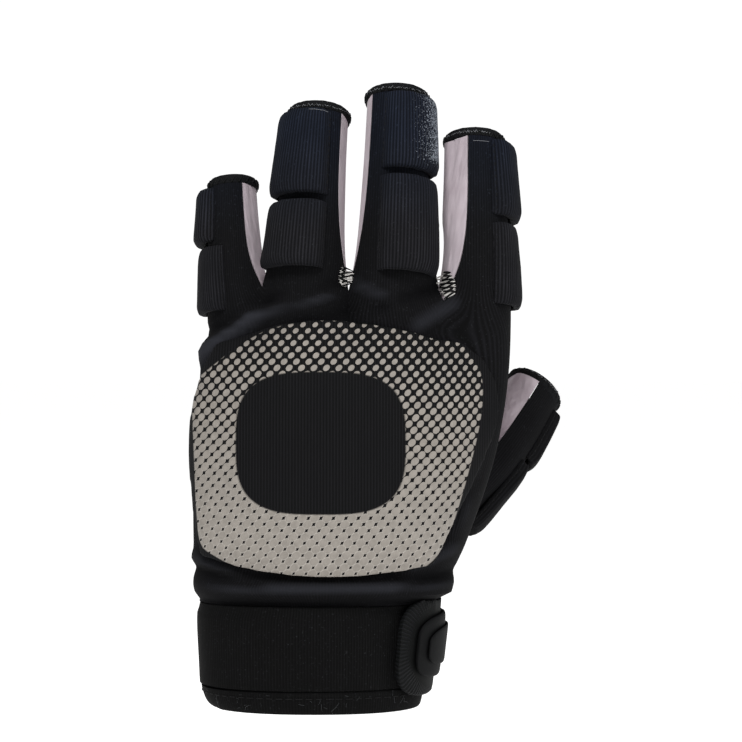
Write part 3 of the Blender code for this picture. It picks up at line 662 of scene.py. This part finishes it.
# %% Copy, crease and subdivide
@contextmanager
def editing(piece, action):
    """Edit mode on one piece, with all of it selected or nothing, and back."""
    pick_only(piece)
    bpy.ops.object.mode_set(mode="EDIT")
    bpy.ops.mesh.select_all(action=action)
    yield
    bpy.ops.mesh.select_all(action="DESELECT")
    bpy.ops.object.mode_set(mode="OBJECT")


def apply_modifier(piece, name):
    """Applies one modifier of a piece."""
    pick_only(piece)
    bpy.ops.object.modifier_apply(modifier=name)


QUAD_ANGLE = math.radians(60)
RIM_ANGLE = math.radians(55)


def cloth_copy(node, name):
    """A new piece with the shape of a solid, its triangles merged into four-sided faces."""
    piece = bpy.data.objects.new(name, solids[node].data.copy())
    piece.data.name = name
    scene.collection.objects.link(piece)
    pick_only(piece)
    if piece.data.has_custom_normals:
        bpy.ops.mesh.customdata_custom_splitnormals_clear()
    with editing(piece, "SELECT"):
        bpy.ops.mesh.remove_doubles(threshold=0.00001)
        bpy.ops.mesh.tris_convert_to_quads(face_threshold=QUAD_ANGLE, shape_threshold=QUAD_ANGLE)
    return piece


def crease_rims(piece, amount):
    """Creases the edges where two walls meet at more than the rim angle."""
    with editing(piece, "DESELECT"):
        bpy.ops.mesh.select_mode(type="EDGE")
        bpy.ops.mesh.edges_select_sharp(sharpness=RIM_ANGLE)
        bpy.ops.transform.edge_crease(value=amount)
        bpy.ops.mesh.select_mode(type="VERT")


def subdivide(piece, levels):
    """Rounds a piece with a Subdivision Surface modifier, and applies it."""
    rounding = piece.modifiers.new("rounding", "SUBSURF")
    rounding.levels = levels
    rounding.render_levels = levels
    apply_modifier(piece, "rounding")
    bpy.ops.object.shade_smooth_by_angle(angle=math.radians(60))


def sewn_cloth(node, name, crease):
    """A rounded copy of a solid with creased rims, and its cut: half of the closed surface."""
    piece = cloth_copy(node, name)
    area = sum(face.area for face in piece.data.polygons) / 2
    crease_rims(piece, crease)
    subdivide(piece, 2)
    return piece, area


def stretch_end(piece, way, amount, reach):
    """Lengthens a piece's end along a direction, less and less within a reach of that end."""
    runs = [v.co.dot(way) for v in piece.data.vertices]
    end = max(runs)
    for v, run in zip(piece.data.vertices, runs):
        v.co += way * amount * max(0.0, 1.0 - (end - run) / reach)


def wear(piece, material, slot, *nodes):
    """Gives a finished piece its material and its place in the frame."""
    piece.data.materials.clear()
    piece.data.materials.append(material)
    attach(piece, "root")
    if nodes:
        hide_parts(*nodes)
    faces = sum(len(p.vertices) - 2 for p in piece.data.polygons)
    print(piece.name, "triangles:", faces)
    return piece


# %% [markdown]
# ## Folds in the back panel
#
# Below the pad the slack knit rolls over the cuff, and at the knuckles it is pulled into slanting
# folds. Each fold is a line across the back of the hand with a height and a width. Points near
# the line move out or in, and less the further away they are. Both walls of the cloth move by the
# same amount, so it keeps its thickness.

# %% Fold table and tool
# Each row: where the fold starts and ends as (x, z), its height and its half-width
FOLDS = (
    ((-0.043, 0.112), (-0.018, 0.13), 0.0026, 0.0032),
    ((-0.040, 0.12), (-0.012, 0.134), -0.0022, 0.0024),
    ((-0.024, 0.127), (0.006, 0.135), 0.0019, 0.0022),
    ((-0.012, 0.13), (0.010, 0.1392), -0.0014, 0.0020),
    ((-0.010, 0.1235), (0.012, 0.129), -0.0010, 0.0020),
    ((0.010, 0.139), (0.028, 0.13), 0.0012, 0.0022),
    ((0.018, 0.129), (0.040, 0.1372), -0.0014, 0.0022),
    ((0.030, 0.123), (0.046, 0.133), 0.0014, 0.0026),
    ((-0.034, 0.0402), (0.042, 0.0408), 0.0017, 0.0020),
    ((-0.034, 0.0444), (0.042, 0.044), -0.0008, 0.0016),
    ((-0.036, 0.0358), (0.042, 0.0362), -0.0010, 0.0018),
    ((-0.044, 0.05), (-0.022, 0.043), 0.0012, 0.0019),
    ((-0.044, 0.046), (-0.016, 0.0405), -0.0012, 0.0017),
    ((0.028, 0.0455), (0.046, 0.053), 0.0012, 0.0022),
    ((0.026, 0.04), (0.046, 0.045), -0.0010, 0.0017),
    ((0.046, 0.06), (0.055, 0.1), 0.0012, 0.0026),
    ((0.040, 0.056), (0.052, 0.076), -0.0009, 0.0022),
)
FOLD_DEPTH = 0.004
FOLD_FADE = 0.010
FULL_CREST = 0.0022


def fold_height(x, z):
    """How far the folds lift the cloth at a place on the back of the hand."""
    total = 0.0
    place = Vector((x, z))
    for start, end, height, width in FOLDS:
        start, end = Vector(start), Vector(end)
        line = end - start
        share = (place - start).dot(line) / line.length_squared
        fade = 1.0 - smooth(0.30, 0.65, abs(share - 0.5))
        off = (place - start - line * share).length
        total += height * fade * math.exp(-(off / width) ** 2)
    return total


def fold_cloth(piece):
    """Moves the points on the camera side by the fold table, and keeps the folds' heights."""
    heights = []
    for v in piece.data.vertices:
        side = 1.0 - smooth(FOLD_DEPTH, FOLD_DEPTH + FOLD_FADE, v.co.y)
        height = fold_height(v.co.x, v.co.z) * side
        heights.append(height / FULL_CREST)
        v.co += Vector((v.co.x * 0.6, -HAND_HALF_DEPTH, 0.0)).normalized() * height
    crests = piece.data.attributes.new("crest", "FLOAT", "POINT")
    crests.data.foreach_set("value", heights)


# %% [markdown]
# ## Shell panels
#
# Black knit covers the back of the hand and of the fingers and the outer half of the thumb. Pale
# microfibre covers the rest. All of it is stretched over the hand. At the wrist the seam draws
# the outer wall in, and the rim is lengthened by half a millimetre, which closes the seam.

# %% Seams
SEAM_CLOSE = 0.0006
SEAM_REACH = 0.004
TUCK_DEPTH = 0.0010
TUCK_REACH = 0.0035
DOWN = Vector((0, 0, -1))


def tuck_rim(piece, way):
    """Draws the outer wall in at the end of a piece that the wrist seam holds."""
    end = max(v.co.dot(way) for v in piece.data.vertices)
    for v in piece.data.vertices:
        out = Vector((v.co.x / HAND_HALF_WIDTH ** 2, v.co.y / HAND_HALF_DEPTH ** 2, 0.0)).normalized()
        held = 1.0 - smooth(0.0, TUCK_REACH, end - v.co.dot(way))
        v.co -= out * TUCK_DEPTH * held * max(0.0, v.normal.dot(out))


# %% Panels
# Each row: the solid, the piece's name, its material, slot and weave, and the size of its cut
PALE = (suede, "grey_suede", hand_weave)
PANELS = (
    ("back_panel", "knit_back", hand_knit, "black_knit", back_weave, (0.172, 0.176)),
    ("thumb_panel", "knit_thumb", hand_knit, "black_knit", finger_weave("thumb"), (0.050, 0.060)),
    ("palm_panel", "suede_palm_panel", *PALE, (0.120, 0.170)),
    ("gusset_little_ring", "suede_gusset_little_ring", *PALE, (0.024, 0.062)),
    ("gusset_ring_middle", "suede_gusset_ring_middle", *PALE, (0.040, 0.072)),
    ("gusset_middle_index", "suede_gusset_middle_index", *PALE, (0.032, 0.072)),
    ("thumb_gusset", "suede_thumb_gusset", *PALE, (0.028, 0.050)),
)

panels = {}
for node, name, material, slot, weave, flat in PANELS:
    panel, area = sewn_cloth(node, name, 1.0)
    if node in ("back_panel", "palm_panel"):
        tuck_rim(panel, DOWN)
        if node == "back_panel":
            fold_cloth(panel)
        stretch_end(panel, DOWN, SEAM_CLOSE, SEAM_REACH)
    lay_weave(panel, weave)
    panels[node] = wear(panel, material, slot, node)
    print("  cut area in cm2:", round(area * 1e4, 1), "of", round(flat[0] * flat[1] * 1e4, 1))

# %% [markdown]
# ## Finger pads
#
# Each pad is foam under stretched knit. The solid is remeshed to small even faces and blown up by
# a cloth simulation with air pressure inside, and no point may travel further than foam would.
# Then its two long sides are pressed down, where the cover is sewn on.

# %% Swelling a pad
FOAM_CLOTH = {
    "quality": 4, "mass": 0.1, "tension_stiffness": 8, "compression_stiffness": 8,
    "bending_stiffness": 0.3, "use_pressure": True, "uniform_pressure_force": 4.0,
}
PAD_FRAMES = 14
# Each pair: the size of the remeshed faces, and the cap of the movement
FINGER_FOAM = (0.0008, 0.0006)
BACK_FOAM = (0.0013, 0.0009)


def swell(piece, voxel, cap):
    """Blows a closed piece up like foam under stretched cloth, within a cap."""
    piece.data.remesh_voxel_size = voxel
    pick_only(piece)
    bpy.ops.object.voxel_remesh()
    before = [v.co.copy() for v in piece.data.vertices]
    cloth = piece.modifiers.new("swelling", "CLOTH")
    for name, value in FOAM_CLOTH.items():
        setattr(cloth.settings, name, value)
    cloth.settings.effector_weights.gravity = 0
    cloth.collision_settings.use_collision = False
    for k in range(1, PAD_FRAMES + 1):
        scene.frame_set(k)
    apply_modifier(piece, "swelling")
    scene.frame_set(1)
    most = 0.0
    for v, was in zip(piece.data.vertices, before):
        move = v.co - was
        most = max(most, move.length)
        if move.length > cap:
            v.co = was + move * (cap / move.length)
    return most


def iron(piece, rounds):
    """Evens out the small steps that a remesh leaves."""
    with editing(piece, "SELECT"):
        bpy.ops.mesh.vertices_smooth(factor=0.5, repeat=rounds)


def foam_pad(node, voxel, cap, ironing):
    """A swollen and ironed copy of a pad's solid."""
    pad = cloth_copy(node, f"foam_{node}")
    most = swell(pad, voxel, cap)
    iron(pad, ironing)
    subdivide(pad, 1)
    bpy.ops.object.shade_smooth()
    print("most movement in mm:", round(most * 1000, 2))
    return pad


# %% Sewing a pad down
RIM_WIDTH = 0.0036
RIM_DEPTH = 0.0011


def press_sides(pad, line):
    """Presses a pad's two long sides down. Gives the turns where they are, and its runs."""
    places = [line.place(v.co) for v in pad.data.vertices]
    turns = sorted(turn for run, turn, reach in places)
    runs = [run for run, turn, reach in places]
    low, high = turns[len(turns) // 50], turns[-1 - len(turns) // 50]
    for v, (run, turn, reach) in zip(pad.data.vertices, places):
        inner = min(turn - low, high - turn) * reach
        press = RIM_DEPTH * (1.0 - smooth(0.0, RIM_WIDTH, inner))
        out = v.co - line.point(run, 0.0, 0.0)
        v.co -= out.normalized() * press
    return low, high, min(runs), max(runs)


FINGER_PADS = {f"{name}_{part}_pad": name for name in finger_lines for part in ("root", "tip")}

finger_pads = {}
pad_sides = {}
for node, finger in FINGER_PADS.items():
    pad = foam_pad(node, *FINGER_FOAM, ironing=2)
    pad_sides[node] = press_sides(pad, finger_lines[finger])
    lay_weave(pad, finger_weave(finger))
    cloth = hand_knit if finger == "thumb" else finger_knit
    finger_pads[node] = wear(pad, cloth, "black_knit", node)

# %% [markdown]
# ## Back pad
#
# The big pad goes the same way with wider faces. It curves away at its sides, so its cloth is
# longer there than it looks. A small cubic term in the map gives the print this extra length.

# %% Back pad map
SIDE_STRETCH = 30.0


def pad_weave(point):
    """The weave of the back pad: its width, longer towards the sides, and its height."""
    across = point.x - BARE_MIDDLE[0]
    return across + SIDE_STRETCH * across ** 3, point.z


# %% The outline of the print
# Points of the edge as (x, z), from the left end of the top edge to the thumb side and round
PRINT_EDGE = (
    (-0.0419, 0.1049), (-0.0366, 0.1096), (-0.0168, 0.1231), (0.0076, 0.1267),
    (0.0205, 0.1247), (0.0376, 0.1224), (0.0475, 0.1185), (0.0521, 0.1125),
    (0.0541, 0.1043), (0.0528, 0.0914), (0.0475, 0.0703), (0.0416, 0.0535),
    (0.0333, 0.0452), (0.0228, 0.0413), (0.0000, 0.0426), (-0.0228, 0.0459),
    (-0.0327, 0.0498), (-0.0380, 0.0541), (-0.0393, 0.0647), (-0.0400, 0.0799),
    (-0.0409, 0.0950),
)


def rounded(corners, steps=4):
    """A closed line through corners with smooth bends between them."""
    points = []
    for k in range(len(corners)):
        a, b, c, d = (Vector(corners[(k + j - 1) % len(corners)]) for j in range(4))
        for step in range(steps):
            t = step / steps
            bend = (c - a) * t + (2 * a - 5 * b + 4 * c - d) * t ** 2
            points.append(b + (bend + (3 * b - a - 3 * c + d) * t ** 3) / 2)
    return points


def margin(place, edge):
    """The distance from a place to a closed edge, above 0 inside and below 0 outside."""
    inside, nearest = False, 1.0
    for a, b in zip(edge, edge[1:] + edge[:1]):
        if (a.y > place.y) != (b.y > place.y):
            crossing = a.x + (b.x - a.x) * (place.y - a.y) / (b.y - a.y)
            inside = inside != (place.x < crossing)
        side = b - a
        share = max(0.0, min(1.0, (place - a).dot(side) / side.length_squared))
        nearest = min(nearest, (place - a - side * share).length)
    return nearest if inside else -nearest


# %% Back pad
back_pad = foam_pad("back_pad", *BACK_FOAM, ironing=3)
lay_weave(back_pad, pad_weave)
print_edge = rounded(PRINT_EDGE)
margins = back_pad.data.attributes.new("print_margin", "FLOAT", "POINT")
margins.data.foreach_set("value", [
    margin(Vector((v.co.x, v.co.z)), print_edge) if v.normal.y < 0.2 else -1.0
    for v in back_pad.data.vertices
])
wear(back_pad, pad_print, "printed_pad", "back_pad")

# %% [markdown]
# ## Cuff and hems
#
# The cuff is a wide band of rib knit. Its hem is double and rounder. Each finger opening is bound
# with tape. A hem overlaps the cloth that it binds, so its inner end is lengthened a little.

# %% Cuff
HEM_CLOSE = 0.0008
HEM_REACH = 0.0030
HEM_FLATTEN = 0.0007

bands = {}
band_areas = {}
for node, crease in (("cuff", 0.8), ("cuff_hem", 0.4)):
    band, band_areas[node] = sewn_cloth(node, f"knit_{node}", crease)
    if node == "cuff":
        tuck_rim(band, -DOWN)
    stretch_end(band, -DOWN, SEAM_CLOSE, SEAM_REACH)
    lay_weave(band, hand_weave)
    bands[node] = wear(band, cuff_knit, "black_knit", node)


# %% Finger hems
def flatten_hem(hem, line):
    """Presses a hem's outer side in, as the tape is stretched over the edge of the cloth."""
    for v in hem.data.vertices:
        run, turn, reach = line.place(v.co)
        out = (v.co - line.point(run, 0.0, 0.0)).normalized()
        v.co -= out * HEM_FLATTEN * max(0.0, v.normal.dot(out))


hems = {}
for finger, line in finger_lines.items():
    hem = cloth_copy(f"{finger}_hem", f"tape_{finger}_hem")
    subdivide(hem, 2)
    flatten_hem(hem, line)
    stretch_end(hem, -line.way, HEM_CLOSE, HEM_REACH)
    lay_weave(hem, finger_weave(finger))
    hems[finger] = wear(hem, tape, "black_binding", f"{finger}_hem")

# %% [markdown]
# ## Wrist strap
#
# The strap ends in a wide D. In its weave map the way across is the run along its edge, and the
# way along is the distance in from it. So plain ribs fan round the end.

# %% Strap
STRAP_MIDDLE = 0.0205
STRAP_HALF = 0.0159
STRAP_END = 0.0140
STRAP_TURN = math.radians(48)
STRAP_OVAL = (0.0425, 0.028, 0.0)
STRAP_CORNER = Vector((
    math.cos(STRAP_TURN) * STRAP_OVAL[0], -math.sin(STRAP_TURN) * STRAP_OVAL[1], 0
))
STRAP_START = way_round(STRAP_CORNER, *STRAP_OVAL)


def strap_weave(point):
    """The run along the strap's edge, and the distance in from it."""
    run = way_round(point, *STRAP_OVAL) - STRAP_START
    height = point.z - STRAP_MIDDLE
    if run < STRAP_END:
        away = STRAP_END - run
        return math.atan2(height, away) * STRAP_HALF, STRAP_HALF - math.hypot(height, away)
    side = 1 if height > 0 else -1
    return side * (math.pi / 2 * STRAP_HALF + run - STRAP_END), STRAP_HALF - abs(height)


for node, name, material, slot, crease in (
    ("wrist_strap", "strap_band", strap_face, "black_neoprene", 0.35),
    ("strap_tab", "strap_moulding", moulded, "strap_rubber", 0.15),
    ("strap_patch", "strap_field", moulded, "strap_rubber", 0.15),
):
    layer, area = sewn_cloth(node, name, crease)
    lay_weave(layer, strap_weave)
    wear(layer, material, slot, node)

# %% [markdown]
# ## Thread
#
# Thread is laid on the finished surface. A ray goes in from outside, and where it meets the cloth
# there is a point of the thread. The points make a curve with a round section.

# %% Laying thread
FINGER_RAY = 0.02
HAND_RAY = 0.08
LIFT = 0.00010


class Surface:
    """The outer surface of some finished pieces."""

    def __init__(self, *pieces):
        points, faces = [], []
        for piece in pieces:
            start = len(points)
            points += [v.co.copy() for v in piece.data.vertices]
            faces += [[start + k for k in face.vertices] for face in piece.data.polygons]
        self.tree = BVHTree.FromPolygons(points, faces)

    def hit(self, origin, way, lift, reach):
        """The point where a ray meets the surface within a reach, lifted back, or None."""
        place, normal, index, distance = self.tree.ray_cast(origin, way, reach)
        return None if place is None else place - way * lift

    def round_finger(self, line, lift=LIFT):
        """A function that finds the surface at a run along a finger and a turn round it."""
        def find(run, turn):
            origin = line.point(run, turn, FINGER_RAY)
            way = (line.point(run, turn, 0.0) - origin).normalized()
            return self.hit(origin, way, lift, FINGER_RAY)

        return find

    def from_front(self, x, z, lift):
        """The surface point that the camera side shows at a place."""
        return self.hit(Vector((x, -HAND_RAY, z)), Vector((0, 1, 0)), lift, HAND_RAY)


def laid(places, steps, find):
    """Surface points along a broken line of places, with steps between each two of them."""
    points = []
    for before, after in zip(places, places[1:]):
        for k in range(steps):
            share = k / steps
            point = find(*[a + (b - a) * share for a, b in zip(before, after)])
            if point is not None:
                points.append(point)
    return points


def dashes(path, stitch, gap):
    """Cuts a line of points into stitches with gaps between them."""
    lines, part, run = [], [], 0.0
    for before, after in zip(path, path[1:]):
        run += (after - before).length
        if run % (stitch + gap) < stitch:
            part.append(after)
        else:
            if len(part) > 1:
                lines.append(part)
            part = []
    return lines


def thread_piece(name, lines, thickness, material, slot="black_binding"):
    """Thread along lines of points, as one mesh."""
    curve = bpy.data.curves.new(name, "CURVE")
    curve.dimensions = "3D"
    curve.bevel_depth = thickness / 2
    curve.bevel_resolution = 1
    curve.use_fill_caps = True
    for points in lines:
        spline = curve.splines.new("POLY")
        spline.points.add(len(points) - 1)
        for knot, point in zip(spline.points, points):
            knot.co = (*point, 1.0)
    thread = bpy.data.objects.new(name, curve)
    scene.collection.objects.link(thread)
    pick_only(thread)
    bpy.ops.object.convert(target="MESH")
    thread = bpy.context.object
    bpy.ops.object.shade_smooth()
    return wear(thread, material, slot)


# %% [markdown]
# ## Zigzag stitches on the finger hems
#
# The binding of each opening is held by a dense black zigzag, which makes its rim look slightly
# saw-toothed. The tops of the hems are worn, and a thin grey thread comes loose along them.

# %% Hem zigzags
ZIGZAG_PITCH = 0.0013
ZIGZAG_HALF = 0.0010

zigzags = []
for finger, line in finger_lines.items():
    surface = Surface(hems[finger])
    reaches = [line.place(v.co)[2] for v in hems[finger].data.vertices]
    count = 2 * round(math.tau * max(reaches) / ZIGZAG_PITCH / 2)
    places = [
        (line.length + (ZIGZAG_HALF if k % 2 else -ZIGZAG_HALF), math.tau * k / count)
        for k in range(count + 1)
    ]
    zigzags.append(laid(places, 3, surface.round_finger(line)))
thread_piece("thread_hem_zigzags", zigzags, 0.00045, black_thread)

# %% Grey edges
# Each row: the finger, and the first and last turn of its worn edge in degrees
WORN_EDGES = (("ring", -60, 75), ("middle", -70, 80), ("index", -80, 30), ("thumb", -40, 40))
EDGE_OUT = 0.0007
EDGE_PITCH = 0.00055

random.seed(5)
edges = []
for finger, first, last in WORN_EDGES:
    line = finger_lines[finger]
    surface = Surface(hems[finger])
    places = []
    turn = math.radians(first)
    while turn < math.radians(last):
        side = EDGE_OUT * (1.0 + random.uniform(-0.35, 0.35))
        places.append((line.length + side * (1.0 if len(places) % 2 else 0.2), turn))
        turn += EDGE_PITCH / FINGER_RADIUS * random.uniform(0.7, 1.5)
    edges.append(laid(places, 3, surface.round_finger(line)))
thread_piece("thread_worn_edges", edges, 0.00012, loose_thread, "grey_suede")

# %% [markdown]
# ## Rows of stitches beside the pads
#
# The cover of each pad is sewn down in a row of short stitches along both of its long sides.

# %% Pad stitches
SIDE_IN = math.radians(3)
END_IN = 0.0015
# Each pair: the length of a stitch, and the gap after it
PAD_STITCH = (0.0013, 0.0009)
CUFF_STITCH = (0.0022, 0.0010)

rows = []
for node, finger in FINGER_PADS.items():
    line = finger_lines[finger]
    surface = Surface(finger_pads[node])
    low, high, first, last = pad_sides[node]
    for turn in (low + SIDE_IN, high - SIDE_IN):
        row_ends = [(first + END_IN, turn), (last - END_IN, turn)]
        path = laid(row_ends, 120, surface.round_finger(line, LIFT / 2))
        rows += dashes(path, *PAD_STITCH)
thread_piece("thread_pad_stitches", rows, 0.00028, black_thread)

# %% [markdown]
# ## Tacks between the fingers
#
# Where two fingers part, a dense black zigzag ties the seams, with pale cloth showing between its
# threads. Smaller ones hold the tops of the pale strips to the hems.

# %% Tacks
# Each row: the middle as (x, z), the width, the height and the lean in degrees
TACKS = (
    ((0.0094, 0.1402), 0.0046, 0.0064, -6),
    ((0.0420, 0.1378), 0.0058, 0.0084, 16),
    ((0.0092, 0.1932), 0.0032, 0.0026, 0),
    ((0.0165, 0.1991), 0.0032, 0.0026, 0),
    ((0.0442, 0.1853), 0.0036, 0.0026, 20),
)
TACK_STEEPNESS = 0.0035
# Each row: the zigzags' pitch, their shift along the tack, and how far they lie off the cloth
BLACK_ZIGZAGS = ((0.0026, 0.0, 0.0004), (0.0026, 0.0013, 0.0005))
PALE_ZIGZAGS = ((0.0011, 0.0, 0.0001), (0.0011, 0.00055, 0.0002))


def tack_threads(tacks, zigzags):
    """Zigzag threads over each tack, cut where the surface falls away."""
    lines = []
    for (x, z), width, height, lean in tacks:
        cos, sin = math.cos(math.radians(lean)), math.sin(math.radians(lean))
        for pitch, shift, lift in zigzags:
            places = []
            for k in range(round(2 * height / pitch) + 1):
                side = (0.5 if k % 2 else -0.5) * width
                side *= 0.5 + 0.5 * math.sin(math.pi * min(1.0, k * pitch / 2 / height))
                up = k * pitch / 2 + shift - height / 2
                places.append((x + side * cos - up * sin, z + side * sin + up * cos))
            part = []
            for point in laid(places, 5, lambda x, z: shell.from_front(x, z, lift)):
                if part and abs(point.y - part[-1].y) > TACK_STEEPNESS:
                    lines.append(part)
                    part = []
                part.append(point)
            lines.append(part)
    return [line for line in lines if len(line) > 2]


shell = Surface(*panels.values(), *hems.values())
thread_piece("thread_tacks", tack_threads(TACKS, BLACK_ZIGZAGS), 0.00075, black_thread)
thread_piece(
    "thread_tacks_pale", tack_threads(TACKS[:2], PALE_ZIGZAGS), 0.00055, pale_thread, "grey_suede"
)

# %% [markdown]
# ## Cuff seam, loose ends and lint
#
# The cuff hem is held by a row of stitches just below its seam. A used glove also has loose bits:
# a grey thread end under two of the hems, and fine grey fibres on the hem of the cuff.

# %% Cuff stitches
CUFF_STITCH_HEIGHT = 0.0052

hem_surface = Surface(bands["cuff_hem"])


def round_wrist(turn, height, lift=LIFT):
    """The surface point of the cuff's hem at a turn round the wrist and a height."""
    out = Vector((math.sin(turn), -math.cos(turn), 0.0))
    middle = Vector((0.0, 0.0, height))
    return hem_surface.hit(middle + out * HAND_RAY, -out, lift, HAND_RAY)


wrist_ends = [(-math.pi, CUFF_STITCH_HEIGHT), (math.pi, CUFF_STITCH_HEIGHT)]
wrist_path = laid(wrist_ends, 1000, round_wrist)
thread_piece("thread_cuff_stitches", dashes(wrist_path, *CUFF_STITCH), 0.00030, black_thread)

# %% Loose ends under the hems
# Each row: the finger, how far below the hem, and the first and last turn in degrees
LOOSE_ENDS = (("ring", 0.0026, -12, 16), ("index", 0.0030, -4, 26))

finger_surface = Surface(panels["back_panel"], *finger_pads.values(), *hems.values())
ends = []
for finger, below, first, last in LOOSE_ENDS:
    line = finger_lines[finger]
    places = [(line.length - below, math.radians(turn)) for turn in (first, last)]
    ends.append(laid(places, 16, finger_surface.round_finger(line)))
thread_piece("thread_loose_ends", ends, 0.00011, loose_thread, "grey_suede")

# %% Fibres on the cuff's hem
FIBRES = 30
random.seed(11)
fibres = []
for k in range(FIBRES):
    turn = random.uniform(-1.35, 1.15)
    height = random.uniform(0.0004, 0.0062)
    start = round_wrist(turn, height, 0.0)
    if start is None:
        continue
    out = Vector((math.sin(turn), -math.cos(turn), 0.0))
    along = Vector((math.cos(turn), math.sin(turn), 0.0))
    way = along * random.uniform(-0.8, 0.8) + Vector((0, 0, random.uniform(-1.0, 0.9)))
    length = random.uniform(0.0012, 0.0040)
    curl = random.uniform(-0.5, 0.5)
    fibre = []
    for step in range(5):
        share = step / 4
        rise = 0.00005 + 0.0006 * share * (1.4 - share)
        fibre.append(start + way * length * share + out * rise + along * curl * length * share ** 2)
    fibres.append(fibre)
thread_piece("lint_cuff_fibres", fibres, 0.00008, lint_fibre, "grey_suede")
